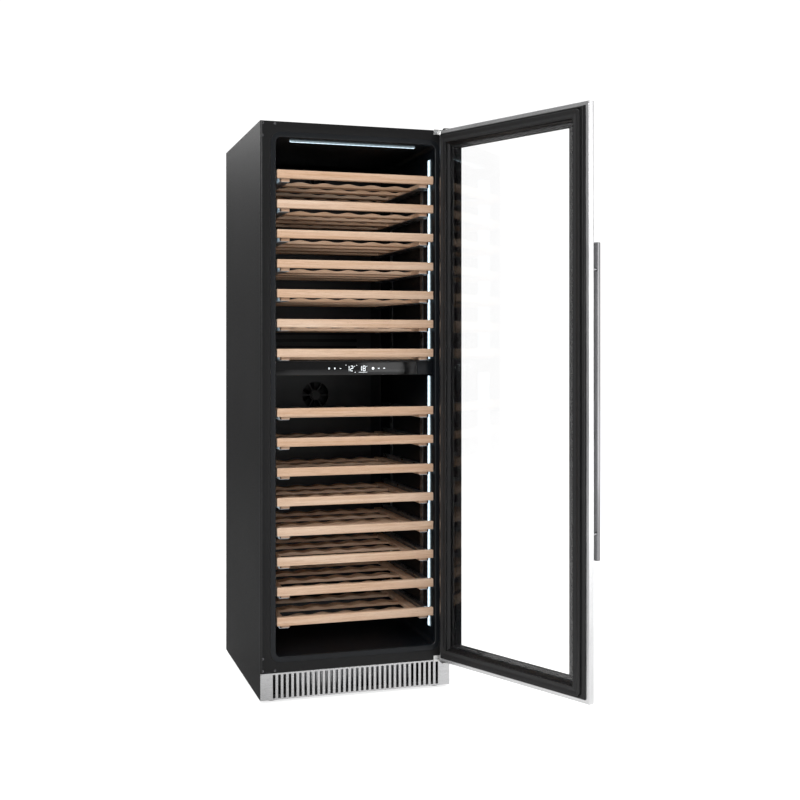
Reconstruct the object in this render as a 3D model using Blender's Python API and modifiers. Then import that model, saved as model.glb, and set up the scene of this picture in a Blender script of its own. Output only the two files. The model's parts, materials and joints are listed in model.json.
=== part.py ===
"""Two-zone wine cooler: a steel cabinet with a glass door, fifteen sliding shelves and its cooling system.

Metres, +Z up. The origin is on the floor under the middle of the cabinet, and the front faces -Y.
The glass door hangs on the right and stands open by DOOR_OPEN degrees.
"""
import math

import bmesh
import bpy
from mathutils import Matrix, Vector

# Cabinet
CABINET_WIDTH = 0.595
CABINET_DEPTH = 0.630
CABINET_TOP = 1.730
FLOOR_GAP = 0.008
GAP = 0.0003            # clearance between pieces that touch
SHEET = 0.001           # side, top and back panels
HEAVY_SHEET = 0.0015    # front frame, grille and base pan
PANEL_RETURN = 0.012    # side panel's turned-in rear edge
PAN_LIP = 0.014

# Cavity
SIDE_WALL = 0.0475
TOP_WALL = 0.047
BACK_WALL = 0.050
CAVITY_BOTTOM = 0.135
CAVITY_RADIUS = 0.0155
LINER_WALL = 0.0015
LIP_WIDTH = 0.016
LIP_CLEARANCE = 0.0005
STEP_DEPTH = 0.185      # raised rear floor of the cavity, over the compressor
STEP_HEIGHT = 0.070
STEP_FOAM = 0.0185
FOAM_BOTTOM = 0.098

# Zones and shelves
UPPER_SHELVES = 7
LOWER_SHELVES = 8
FLOOR_ROW = 0.115       # cavity floor to the top of the lowest front board
LOWER_TOP_BAY = 0.0983
DIVIDER_HEIGHT = 0.043
DIVIDER_SETBACK = 0.020
DIVIDER_WALL = 0.003
FIRST_UPPER = 0.0368    # divider to the top of the first front board above it
UPPER_TOP_BAY = 0.096
PANEL_GLASS = 0.004
BOARD_HEIGHT = 0.025
BOARD_THICKNESS = 0.018
BOARD_END_GAP = 0.004
BOARD_SETBACK = 0.0025
DECK_DROP = 0.022       # front board's top to the deck's top
DECK_THICKNESS = 0.012
DECK_RAIL = 0.026
DECK_SLAT = 0.045
DECK_SLATS = 4
DECK_BACK_GAP = 0.030
RUNNER_HEIGHT = 0.025
RUNNER_THICKNESS = 0.005
RUNNER_FLANGE = 0.030
RUNNER_SHEET = 0.0015
RUNNER_GAP = 0.001
SLIDE_WIDTH = 0.0110
SLIDE_SHEET = 0.0014
SLIDE_SETBACK = 0.070   # front of the cabinet to the front of the fixed slides
SLIDE_STRIP = 0.0012
SLIDE_STRIP_WIDTH = 0.025
SLIDE_STRIP_INSET = 0.045

# Lights
LIGHT_SETBACK = 0.038
LIGHT_WIDTH = 0.025
LIGHT_THICKNESS = 0.003
LIGHT_END = 0.005
UPPER_LIGHT_TOP_GAP = 0.039
LOWER_LIGHT_BOTTOM_GAP = 0.048
CEILING_LIGHT_END_GAP = 0.052
CEILING_LIGHT_WIDTH = 0.012
CEILING_LIGHT_HEIGHT = 0.005
CEILING_LIGHT_SETBACK = 0.039

# Air ducts, evaporators and zone fans
DUCT_DEPTH = 0.035
DUCT_WALL = 0.002
DUCT_SIDE_GAP = 0.050
DUCT_END_GAP = 0.012
FAN_RADIUS = 0.044
FAN_TIP_GAP = 0.003
FAN_DROP = 0.070        # duct top to fan axis
FAN_DEPTH = 0.016
FAN_HUB = 0.018
FAN_BLADES = 7
BLADE_THICKNESS = 0.0016
BLADE_PITCH = 35.0
BLADE_ROOT = 0.8         # where a blade starts inside the hub, as a share of its radius
SHAFT_RADIUS = 0.002
SHAFT_GAP = 0.0004
SPIDER_BAR = 0.0034
SPIDER_BARS = 3
MOTOR_RADIUS = 0.014
DUCT_SLOT_HEIGHT = 0.010
DUCT_SLOT_PITCH = 0.024
DUCT_SLOTS = 4
TUBE_RADIUS = 0.004
TUBE_PITCH = 0.056
TUBE_SIDE_GAP = 0.010    # duct wall to the tube's bends
TUBE_DEPTH = 0.021       # duct cover's face to the tube's axis
EVAPORATOR_MARGIN = 0.110

# Machine compartment
COMPRESSOR_X = 0.115
COMPRESSOR_RADIUS = 0.072
COMPRESSOR_HEIGHT = 0.150
COMPRESSOR_BACK_GAP = 0.105
COMPRESSOR_DOME = 0.45   # height of the can's rounded top and bottom, as a share of its radius
COMPRESSOR_BASE = 0.72   # radius of the can's flat bottom, as a share of its radius
COMPRESSOR_SKIRT = 0.27  # height of the can's tapered bottom, as a share of its radius
COMPRESSOR_PLATE = (0.196, 0.127, 0.003)
GROMMET_RADIUS = 0.011
GROMMET_HEIGHT = 0.009
CONDENSER_WIDTH = 0.360
CONDENSER_DEPTH = 0.062
CONDENSER_HEIGHT = 0.074
CONDENSER_SETBACK = 0.045
CONDENSER_FINS = 24
FIN_THICKNESS = 0.003
COND_FAN_X = -0.130
COND_FAN_RADIUS = 0.058
COND_FAN_DEPTH = 0.022
COND_FAN_HUB = 0.022
SHROUD_WIDTH = 0.170
SHROUD_HEIGHT = 0.160
SHROUD_THICKNESS = 0.003
SHROUD_GAP = 0.015      # compartment's front wall to the fan's plate
INLET_X = -0.215
INLET_Z = 0.060
INLET_SIZE = (0.028, 0.018, 0.020)
INLET_FLANGE = 0.004
INLET_PINS = ((-0.007, -0.002), (0.0, 0.002), (0.007, -0.002))
VENT_SLOTS = 9
VENT_PITCH = 0.015
VENT_HEIGHT = 0.006
VENT_WIDTH = 0.340
VENT_X = 0.040

# Kick grille and levelling feet
GRILLE_TOP = 0.088
GRILLE_PITCH = 0.016
GRILLE_SLOT = 0.007
GRILLE_BORDER = 0.005
GRILLE_END = 0.036
FOOT_RADIUS = 0.017
FOOT_HEIGHT = 0.005
FOOT_INSET = 0.040
STUD_RADIUS = 0.004
STUD_LENGTH = 0.040
STUD_GAP = 0.0008

# Door
DOOR_OPEN = 113.5
DOOR_BOTTOM = 0.086
DOOR_TOP_GAP = 0.002
DOOR_GAP = 0.018        # cabinet front to the stainless ledge behind the door
TRIM_DEPTH = 0.021
TRIM_FACE = 0.060
TRIM_LEDGE = 0.016
INNER_RISE = 0.011
INNER_SHOULDER = 0.0015  # flat between the gasket and the inner frame's sloping edge
INNER_SLOPE = 0.0055
INNER_EDGE_DROP = 0.008
SPACER_REVEAL = 0.008   # how far the spacer between the panes shows inside the frame's edge
PANE = 0.004
PANE_INSET = 0.005
PANE_SEAT = 0.004       # how far the inner pane reaches under the frame's edge
INNER_PANE_DEPTH = 0.0003  # inner pane's back face behind the ledge
PANE_HOLD = 0.0004
GASKET_INSET = 0.021
GASKET_WIDTH = 0.024
GASKET_SEAT = 0.006
GASKET_RADIUS = 0.012
DOOR_CLOSED_GAP = 0.0005
HINGE_INSET = 0.020
HINGE_FORWARD = 0.010

# Hinge brackets
BRACKET_SHEET = 0.003
BRACKET_WIDTH = 0.047
BRACKET_REACH = 0.009   # nose beyond the pin
BRACKET_ARM = 0.028
TOP_BRACKET_HEIGHT = 0.015
BOTTOM_BRACKET_HEIGHT = 0.019
PIN_RADIUS = 0.003
PIN_LENGTH = 0.0125
PIN_GAP = 0.0005

# Handle
HANDLE_LENGTH = 0.880
HANDLE_WIDTH = 0.013
HANDLE_DEPTH = 0.0135
HANDLE_INSET = 0.024    # door's free edge to the bar's middle
HANDLE_STANDOFF = 0.035
HANDLE_ROUND = 0.002
POST_RADIUS = 0.005
POST_INSET = 0.075

# Places worked out from the sizes above
HALF_WIDTH = CABINET_WIDTH / 2
FRONT = -CABINET_DEPTH / 2
BACK = CABINET_DEPTH / 2
SKIN_BACK = FRONT + HEAVY_SHEET
INSIDE = HALF_WIDTH - SHEET - GAP
CAVITY_HALF = HALF_WIDTH - SIDE_WALL
CAVITY_TOP = CABINET_TOP - TOP_WALL
CAVITY_BACK = BACK - BACK_WALL
STEP_FRONT = CAVITY_BACK - STEP_DEPTH
STEP_TOP = CAVITY_BOTTOM + STEP_HEIGHT
PAN_TOP = FLOOR_GAP + HEAVY_SHEET
COMPARTMENT_TOP = STEP_TOP - LINER_WALL - STEP_FOAM
COMPARTMENT_FRONT = STEP_FRONT + LINER_WALL + STEP_FOAM
SHELF_SPAN = (CAVITY_TOP - CAVITY_BOTTOM - FLOOR_ROW - LOWER_TOP_BAY
              - DIVIDER_HEIGHT - FIRST_UPPER - UPPER_TOP_BAY)
SHELF_PITCH = SHELF_SPAN / (UPPER_SHELVES + LOWER_SHELVES - 2)
LOWER_FIRST = CAVITY_BOTTOM + FLOOR_ROW
DIVIDER_BOTTOM = LOWER_FIRST + (LOWER_SHELVES - 1) * SHELF_PITCH + LOWER_TOP_BAY
DIVIDER_TOP = DIVIDER_BOTTOM + DIVIDER_HEIGHT
UPPER_FIRST = DIVIDER_TOP + FIRST_UPPER
BOARD_HALF = CAVITY_HALF - BOARD_END_GAP
BOARD_FRONT = FRONT + BOARD_SETBACK
DUCT_FRONT = CAVITY_BACK - DUCT_DEPTH
DECK_BACK = DUCT_FRONT - DECK_BACK_GAP
SLIDE_OUTER = CAVITY_HALF - GAP - SLIDE_STRIP
SLIDE_INNER = SLIDE_OUTER - SLIDE_WIDTH
RUNNER_OUTER = SLIDE_INNER - RUNNER_GAP
SLIDE_FRONT = FRONT + SLIDE_SETBACK
LEDGE = FRONT - DOOR_GAP
DOOR_FACE = LEDGE - TRIM_DEPTH
DOOR_TOP = CABINET_TOP - DOOR_TOP_GAP
INNER_FLAT = GASKET_INSET + GASKET_WIDTH + INNER_SHOULDER
INNER_BORDER = INNER_FLAT + INNER_SLOPE
INNER_PANE_INSET = INNER_BORDER - PANE_SEAT
INNER_PANE_BACK = LEDGE + INNER_PANE_DEPTH
HINGE = Vector((HALF_WIDTH - HINGE_INSET, LEDGE - HINGE_FORWARD, 0.0))
HANDLE_X = -HALF_WIDTH + HANDLE_INSET
HANDLE_Z = (DOOR_BOTTOM + DOOR_TOP) / 2
GUARD_Y = DUCT_FRONT + DUCT_WALL / 2
MOTOR_REACH = SPIDER_BAR / 2 + SHEET
FAN_Y = GUARD_Y + MOTOR_REACH + 2 * GAP + FAN_DEPTH / 2
COND_FAN_Z = PAN_TOP + SHROUD_HEIGHT / 2 + GAP
SHROUD_FRONT = COMPARTMENT_FRONT + SHROUD_GAP
CEILING_LIGHT_HALF = CAVITY_HALF - CEILING_LIGHT_END_GAP
BEYOND = 0.05           # how far a cutter runs past the face it cuts
STRAIGHT = 0.9          # share of an edge that runs along an axis for it to count as along it
BITE = 0.0004           # how far a piece runs into the one it is joined to


def clear_scene():
    """Empty the scene of every object."""
    for obj in list(bpy.data.objects):
        bpy.data.objects.remove(obj, do_unlink=True)


def new_collection(name):
    """A collection linked to the scene."""
    collection = bpy.data.collections.new(name)
    bpy.context.scene.collection.children.link(collection)
    return collection


def place(name, mesh, tool, origin=(0.0, 0.0, 0.0)):
    """An object for the mesh: a part, or a hidden tool that shapes one."""
    mesh.name = name
    mesh.shade_smooth()
    mesh.set_sharp_from_angle(angle=math.radians(32.0))
    obj = bpy.data.objects.new(name, mesh)
    obj.location = origin
    bpy.data.collections["tools" if tool else "wine_cooler"].objects.link(obj)
    if tool:
        obj.hide_render = True
        obj.display_type = "WIRE"
    return obj


def finish(obj, colour, roughness, metallic):
    """Give the object a plain Principled material: colour as linear red, green, blue."""
    material = bpy.data.materials.new(obj.name)
    material.use_nodes = True
    shader = material.node_tree.nodes["Principled BSDF"]
    shader.inputs["Base Color"].default_value = (*colour, 1.0)
    shader.inputs["Roughness"].default_value = roughness
    shader.inputs["Metallic"].default_value = metallic
    obj.data.materials.append(material)
    return obj


def add_block(bm, low, high):
    """Add a box between two corners to the mesh, and return its vertices."""
    box = bmesh.ops.create_cube(bm, size=1.0)["verts"]
    size = [b - a for a, b in zip(low, high)]
    middle = [(a + b) / 2 for a, b in zip(low, high)]
    bmesh.ops.scale(bm, vec=size, verts=box)
    bmesh.ops.translate(bm, vec=middle, verts=box)
    return box


def block(name, low, high, tool=False, axis=None, radius=0.0, segments=4):
    """A box between two corners, its edges along one axis rounded when a radius is given."""
    bm = bmesh.new()
    add_block(bm, low, high)
    if radius:
        edges = [e for e in bm.edges
                 if abs((e.verts[0].co - e.verts[1].co)[axis]) > e.calc_length() * STRAIGHT]
        bmesh.ops.bevel(bm, geom=edges, offset=radius, offset_type="OFFSET", segments=segments,
                        profile=0.5, affect="EDGES")
    mesh = bpy.data.meshes.new(name)
    bm.to_mesh(mesh)
    bm.free()
    return place(name, mesh, tool)


def blocks(name, corners):
    """One tool made of several separate boxes."""
    bm = bmesh.new()
    for low, high in corners:
        add_block(bm, low, high)
    mesh = bpy.data.meshes.new(name)
    bm.to_mesh(mesh)
    bm.free()
    return place(name, mesh, True)


def cylinder(name, start, end, radius, segments=24, tool=False):
    """A solid cylinder between the middles of its two ends."""
    start, end = Vector(start), Vector(end)
    run = end - start
    bm = bmesh.new()
    bmesh.ops.create_cone(bm, cap_ends=True, segments=segments, radius1=radius, radius2=radius,
                          depth=run.length)
    turn = run.to_track_quat("Z", "Y").to_matrix().to_4x4()
    bmesh.ops.transform(bm, matrix=Matrix.Translation((start + end) / 2) @ turn, verts=bm.verts)
    mesh = bpy.data.meshes.new(name)
    bm.to_mesh(mesh)
    bm.free()
    return place(name, mesh, tool)


def as_mesh(curve, name, tool, origin=(0.0, 0.0, 0.0)):
    """Turn a curve object into a closed mesh object, its caps welded."""
    bpy.context.view_layer.update()
    evaluated = curve.evaluated_get(bpy.context.evaluated_depsgraph_get())
    mesh = bpy.data.meshes.new_from_object(evaluated)
    mesh.transform(curve.matrix_world)
    bpy.data.objects.remove(curve, do_unlink=True)
    bm = bmesh.new()
    bm.from_mesh(mesh)
    bmesh.ops.remove_doubles(bm, verts=bm.verts, dist=0.00001)
    bmesh.ops.dissolve_limit(bm, angle_limit=0.001, verts=bm.verts, edges=bm.edges)
    bmesh.ops.recalc_face_normals(bm, faces=bm.faces)
    bm.to_mesh(mesh)
    bm.free()
    return place(name, mesh, tool, origin)


def plate(name, outline, start, end, axis, tool=False):
    """A flat outline of (a, b) points pushed from start to end along an axis.

    Along "Y" a point is (x, z), along "Z" it is (x, y), and along "X" it is (y, z).
    """
    curve = bpy.data.curves.new(name, "CURVE")
    curve.dimensions = "2D"
    curve.fill_mode = "BOTH"
    curve.extrude = (end - start) / 2
    spline = curve.splines.new("POLY")
    spline.points.add(len(outline) - 1)
    for point, (a, b) in zip(spline.points, outline):
        point.co = (a, b, 0.0, 1.0)
    spline.use_cyclic_u = True
    obj = bpy.data.objects.new(name, curve)
    bpy.data.collections["tools"].objects.link(obj)
    middle = (start + end) / 2
    turns = {
        "X": Matrix(((0, 0, 1, middle), (1, 0, 0, 0), (0, 1, 0, 0), (0, 0, 0, 1))),
        "Y": Matrix(((1, 0, 0, 0), (0, 0, -1, middle), (0, 1, 0, 0), (0, 0, 0, 1))),
        "Z": Matrix.Translation((0.0, 0.0, middle)),
    }
    obj.matrix_world = turns[axis]
    return as_mesh(obj, name, tool)


def tube(name, points, radius):
    """A round bar along a chain of points."""
    curve = bpy.data.curves.new(name, "CURVE")
    curve.dimensions = "3D"
    curve.bevel_depth = radius
    curve.bevel_resolution = 1
    curve.use_fill_caps = True
    spline = curve.splines.new("POLY")
    spline.points.add(len(points) - 1)
    for point, place_at in zip(spline.points, points):
        point.co = (*place_at, 1.0)
    obj = bpy.data.objects.new(name, curve)
    bpy.data.collections["tools"].objects.link(obj)
    return as_mesh(obj, name, False)


def shape(obj, operation, *tools):
    """Join tools to the object, or cut them out of it."""
    for tool in tools:
        modifier = obj.modifiers.new(tool.name, "BOOLEAN")
        modifier.operation = operation
        modifier.solver = "EXACT"
        modifier.object = tool
    return obj


def cut(obj, *tools):
    """Cut the tools out of the object."""
    return shape(obj, "DIFFERENCE", *tools)


def join(obj, *tools):
    """Join the tools to the object."""
    return shape(obj, "UNION", *tools)


def settle(obj):
    """Replace the object's mesh by the result of its modifiers."""
    bpy.context.view_layer.update()
    evaluated = obj.evaluated_get(bpy.context.evaluated_depsgraph_get())
    mesh = bpy.data.meshes.new_from_object(evaluated)
    obj.modifiers.clear()
    obj.data = mesh
    return mesh


def cavity_block(name, grow, front):
    """The cavity's solid with its raised rear floor, larger all round by grow."""
    solid = block(name, (-CAVITY_HALF - grow, front, CAVITY_BOTTOM - grow),
                  (CAVITY_HALF + grow, CAVITY_BACK + grow, CAVITY_TOP + grow),
                  True, 1, CAVITY_RADIUS + grow)
    step = block(name + "_step", (-HALF_WIDTH, STEP_FRONT + grow, 0.0),
                 (HALF_WIDTH, BACK + BEYOND, STEP_TOP - grow), True)
    return cut(solid, step)


def make_side_panel(name, side):
    """Steel side panel with its rear edge turned in."""
    outer, inner = side * HALF_WIDTH, side * (HALF_WIDTH - SHEET)
    turned = side * (HALF_WIDTH - PANEL_RETURN)
    front = SKIN_BACK + GAP
    outline = [(outer, front), (outer, BACK), (turned, BACK), (turned, BACK - SHEET),
               (inner, BACK - SHEET), (inner, front)]
    panel = plate(name, outline, FLOOR_GAP, CABINET_TOP, "Z")
    return finish(panel, (0.03, 0.03, 0.032), 0.38, 0.0)


def make_top_panel():
    """Flat steel top between the side panels."""
    panel = block("top_panel", (-INSIDE, SKIN_BACK + GAP, CABINET_TOP - SHEET),
                  (INSIDE, BACK - SHEET - GAP, CABINET_TOP))
    return finish(panel, (0.03, 0.03, 0.032), 0.38, 0.0)


def make_back_panel():
    """Steel back with vent slots and the power inlet's hole at the bottom."""
    near, far = BACK - 2 * SHEET - GAP, BACK - SHEET - GAP
    panel = block("back_panel", (-INSIDE, near, PAN_TOP + GAP), (INSIDE, far, CABINET_TOP - SHEET - GAP))
    first = PAN_TOP + PAN_LIP + VENT_HEIGHT
    slots = [((VENT_X - VENT_WIDTH / 2, near - BEYOND, first + i * VENT_PITCH),
              (VENT_X + VENT_WIDTH / 2, far + BEYOND, first + i * VENT_PITCH + VENT_HEIGHT))
             for i in range(VENT_SLOTS)]
    hole_x, hole_z = INLET_SIZE[0] / 2 + GAP, INLET_SIZE[1] / 2 + GAP
    slots.append(((INLET_X - hole_x, near - BEYOND, INLET_Z - hole_z),
                  (INLET_X + hole_x, far + BEYOND, INLET_Z + hole_z)))
    cut(panel, blocks("back_panel_slots", slots))
    return finish(panel, (0.35, 0.35, 0.36), 0.45, 0.9)


def make_front_frame():
    """Black steel ring around the cavity's mouth."""
    reach = LIP_WIDTH + LIP_CLEARANCE
    frame = block("front_frame", (-HALF_WIDTH, FRONT, GRILLE_TOP + GAP),
                  (HALF_WIDTH, SKIN_BACK, CABINET_TOP))
    mouth = block("front_frame_mouth", (-CAVITY_HALF - reach, FRONT - BEYOND, CAVITY_BOTTOM - reach),
                  (CAVITY_HALF + reach, SKIN_BACK + BEYOND, CAVITY_TOP + reach),
                  True, 1, CAVITY_RADIUS + reach)
    cut(frame, mouth)
    return finish(frame, (0.018, 0.018, 0.019), 0.42, 0.0)


def foot_places():
    """Middle of each levelling foot, seen from above, by name."""
    x, y = HALF_WIDTH - FOOT_INSET, BACK - FOOT_INSET
    return {"foot_front_left": (-x, -y), "foot_front_right": (x, -y),
            "foot_rear_left": (-x, y), "foot_rear_right": (x, y)}


def make_base_pan():
    """Steel floor of the machine compartment, its front and rear edges turned up."""
    front, rear = SKIN_BACK + GAP, BACK - 2 * (SHEET + GAP)
    lip = PAN_TOP + PAN_LIP
    outline = [(front, FLOOR_GAP), (rear, FLOOR_GAP), (rear, PAN_TOP), (front + HEAVY_SHEET, PAN_TOP),
               (front + HEAVY_SHEET, lip), (front, lip)]
    pan = plate("base_pan", outline, -INSIDE, INSIDE, "X")
    for foot, (x, y) in foot_places().items():
        cut(pan, cylinder("base_pan_hole_" + foot, (x, y, -BEYOND), (x, y, PAN_TOP + BEYOND),
                          STUD_RADIUS + STUD_GAP, 12, True))
    return finish(pan, (0.015, 0.015, 0.015), 0.4, 0.0)


def make_foam():
    """Foamed insulation between the panels and the liner, open at the front and over the compressor."""
    foam = block("insulation_foam", (-INSIDE, SKIN_BACK + GAP, FOAM_BOTTOM),
                 (INSIDE, BACK - 2 * (SHEET + GAP), CABINET_TOP - SHEET - GAP))
    hollow = cavity_block("foam_cavity", LINER_WALL + GAP, FRONT - BEYOND)
    compartment = block("foam_compartment", (-HALF_WIDTH, COMPARTMENT_FRONT, 0.0),
                        (HALF_WIDTH, BACK + BEYOND, COMPARTMENT_TOP), True)
    cut(foam, hollow, compartment)
    return finish(foam, (0.75, 0.68, 0.45), 0.9, 0.0)


def make_liner():
    """Moulded plastic liner: a tub with a flat lip round its mouth."""
    liner = block("inner_liner", (-CAVITY_HALF - LIP_WIDTH, FRONT, CAVITY_BOTTOM - LIP_WIDTH),
                  (CAVITY_HALF + LIP_WIDTH, SKIN_BACK, CAVITY_TOP + LIP_WIDTH),
                  False, 1, CAVITY_RADIUS + LIP_WIDTH)
    join(liner, cavity_block("liner_outside", LINER_WALL, FRONT + HEAVY_SHEET / 2))
    cut(liner, cavity_block("liner_inside", 0.0, FRONT - BEYOND))
    return finish(liner, (0.02, 0.022, 0.026), 0.35, 0.0)


def make_divider():
    """Hollow moulded floor between the two zones, open at its rear edge."""
    half = CAVITY_HALF - LIP_CLEARANCE
    front = FRONT + DIVIDER_SETBACK + PANEL_GLASS + GAP
    divider = block("zone_divider", (-half, front, DIVIDER_BOTTOM), (half, CAVITY_BACK - GAP, DIVIDER_TOP))
    cut(divider, block("zone_divider_inside",
                       (-half + DIVIDER_WALL, front + DIVIDER_WALL, DIVIDER_BOTTOM + DIVIDER_WALL),
                       (half - DIVIDER_WALL, CAVITY_BACK + BEYOND, DIVIDER_TOP - DIVIDER_WALL), True))
    return finish(divider, (0.02, 0.022, 0.026), 0.35, 0.0)


def make_control_panel():
    """Glass touch panel on the front of the divider."""
    half = CAVITY_HALF - LIP_CLEARANCE
    front = FRONT + DIVIDER_SETBACK
    panel = block("control_panel", (-half, front, DIVIDER_BOTTOM), (half, front + PANEL_GLASS, DIVIDER_TOP))
    return finish(panel, (0.005, 0.005, 0.006), 0.06, 0.0)


def make_ceiling_light():
    """Light bar under the cavity's ceiling."""
    front = FRONT + CEILING_LIGHT_SETBACK
    light = block("ceiling_light",
                  (-CEILING_LIGHT_HALF, front, CAVITY_TOP - GAP - CEILING_LIGHT_HEIGHT),
                  (CEILING_LIGHT_HALF, front + CEILING_LIGHT_WIDTH, CAVITY_TOP - GAP))
    return finish(light, (0.8, 0.9, 0.95), 0.3, 0.0)


def make_side_light(name, side, bottom, top):
    """Light strip on a side wall of one zone."""
    front = FRONT + LIGHT_SETBACK
    inner, outer = sorted((side * (CAVITY_HALF - GAP - LIGHT_THICKNESS), side * (CAVITY_HALF - GAP)))
    light = block(name, (inner, front, bottom), (outer, front + LIGHT_WIDTH, top))
    return finish(light, (0.8, 0.9, 0.95), 0.3, 0.0)


def fan_guard(name, middle, radius, depth):
    """Tools for a guard across a round hole: its bars, the motor and the shaft towards +Y."""
    x, y, z = middle
    half = SPIDER_BAR / 2
    rear = y + MOTOR_REACH
    tools = [cylinder(name + "_motor", (x, y - half - SHEET / 2, z), (x, rear, z), MOTOR_RADIUS, 16, True)]
    for i in range(SPIDER_BARS):
        bar = block(f"{name}_bar_{i}", (-radius, -half, -half), (radius, half, half), True)
        bar.matrix_world = Matrix.Translation((x, y, z)) @ Matrix.Rotation(math.pi * i / SPIDER_BARS, 4, "Y")
        tools.append(bar)
    tools.append(cylinder(name + "_shaft", (x, y, z), (x, rear + depth, z), SHAFT_RADIUS, 8, True))
    return tools


def make_duct(name, bottom, top):
    """Air duct cover on the back wall, with return slots and a guarded hole for its fan."""
    half = CAVITY_HALF - DUCT_SIDE_GAP
    duct = block(name, (-half, DUCT_FRONT, bottom), (half, CAVITY_BACK - GAP, top))
    inside = block(name + "_inside", (-half + DUCT_WALL, DUCT_FRONT + DUCT_WALL, bottom + DUCT_WALL),
                   (half - DUCT_WALL, CAVITY_BACK + BEYOND, top - DUCT_WALL), True)
    hub = (0.0, GUARD_Y, top - FAN_DROP)
    hole = cylinder(name + "_hole", (0.0, DUCT_FRONT - BEYOND, hub[2]), (0.0, FAN_Y, hub[2]),
                    FAN_RADIUS + FAN_TIP_GAP, 24, True)
    slots = [((-half + DUCT_SIDE_GAP, DUCT_FRONT - BEYOND, bottom + DUCT_SLOT_PITCH * (i + 1)),
              (half - DUCT_SIDE_GAP, DUCT_FRONT + DUCT_WALL + GAP,
               bottom + DUCT_SLOT_PITCH * (i + 1) + DUCT_SLOT_HEIGHT)) for i in range(DUCT_SLOTS)]
    cut(duct, inside, hole, blocks(name + "_slots", slots))
    join(duct, *fan_guard(name, hub, FAN_RADIUS + FAN_TIP_GAP + SPIDER_BAR, FAN_DEPTH))
    return finish(duct, (0.03, 0.032, 0.036), 0.45, 0.0)


def make_fan(name, middle, radius, depth, hub):
    """Fan wheel turning about Y: pitched blades on a hub bored for its shaft."""
    wheel = cylinder(name, (0.0, -depth / 2, 0.0), (0.0, depth / 2, 0.0), hub, 20)
    wheel.location = middle
    bpy.context.view_layer.update()
    tools = []
    for i in range(FAN_BLADES):
        blade = block(f"{name}_blade_{i}", (hub * BLADE_ROOT, -depth / 2, -BLADE_THICKNESS / 2),
                      (radius, depth / 2, BLADE_THICKNESS / 2), True)
        blade.matrix_world = (Matrix.Translation(middle) @ Matrix.Rotation(math.tau * i / FAN_BLADES, 4, "Y")
                              @ Matrix.Rotation(math.radians(BLADE_PITCH), 4, "X"))
        tools.append(blade)
    join(wheel, *tools)
    x, y, z = middle
    cut(wheel, cylinder(name + "_bore", (x, y - depth, z), (x, y + depth, z),
                        SHAFT_RADIUS + SHAFT_GAP, 8, True))
    return finish(wheel, (0.03, 0.03, 0.03), 0.5, 0.0)


def make_evaporator(name, bottom, top):
    """Cooling tube folded back and forth behind an air duct cover."""
    bend = TUBE_PITCH / 2
    reach = CAVITY_HALF - DUCT_SIDE_GAP - DUCT_WALL - TUBE_SIDE_GAP - TUBE_RADIUS - bend
    y = DUCT_FRONT + TUBE_DEPTH
    passes = int((top - bottom) / TUBE_PITCH) + 1
    points = []
    for i in range(passes):
        side = -1 if i % 2 == 0 else 1
        z = bottom + i * TUBE_PITCH
        points.append((side * reach, y, z))
        points.append((-side * reach, y, z))
        if i < passes - 1:
            for k in (1, 2, 3):
                angle = math.pi * k / 4
                points.append((-side * (reach + math.sin(angle) * bend), y, z + (1 - math.cos(angle)) * bend))
    return finish(tube(name, points, TUBE_RADIUS), (0.6, 0.6, 0.6), 0.4, 1.0)


def make_compressor():
    """Hermetic compressor: a turned steel can on a footplate with four rubber grommets."""
    x, y = COMPRESSOR_X, BACK - COMPRESSOR_BACK_GAP
    plate_bottom = PAN_TOP + GAP + GROMMET_HEIGHT
    plate_x, plate_y, plate_z = COMPRESSOR_PLATE
    low = plate_bottom + plate_z - 3 * BITE
    rim = COMPRESSOR_RADIUS
    dome = rim * COMPRESSOR_DOME
    profile = [(0.0, COMPRESSOR_HEIGHT)]
    for k in range(1, 5):
        angle = math.radians(90 - 22.5 * k)
        profile.append((rim * math.cos(angle), COMPRESSOR_HEIGHT - dome * (1 - math.sin(angle))))
    profile += [(rim, rim * COMPRESSOR_SKIRT), (rim * COMPRESSOR_BASE, 0.0), (0.0, 0.0)]
    mesh = bpy.data.meshes.new("compressor")
    mesh.from_pydata([(r, 0.0, z) for r, z in profile], [(i, i + 1) for i in range(len(profile) - 1)], [])
    can = place("compressor", mesh, False, (x, y, low))
    screw = can.modifiers.new("turn", "SCREW")
    screw.axis = "Z"
    screw.steps = 24
    screw.render_steps = 24
    screw.use_merge_vertices = True
    screw.merge_threshold = 0.0001
    bpy.context.view_layer.update()
    join(can, block("compressor_plate", (x - plate_x / 2, y - plate_y / 2, plate_bottom),
                    (x + plate_x / 2, y + plate_y / 2, plate_bottom + plate_z), True))
    for sx in (-1, 1):
        for sy in (-1, 1):
            cx = x + sx * (plate_x / 2 - GROMMET_RADIUS)
            cy = y + sy * (plate_y / 2 - GROMMET_RADIUS)
            join(can, cylinder(f"compressor_grommet_{sx}_{sy}", (cx, cy, PAN_TOP + GAP),
                               (cx, cy, plate_bottom + 2 * BITE), GROMMET_RADIUS, 12, True))
    return finish(can, (0.015, 0.015, 0.015), 0.4, 0.0)


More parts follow.
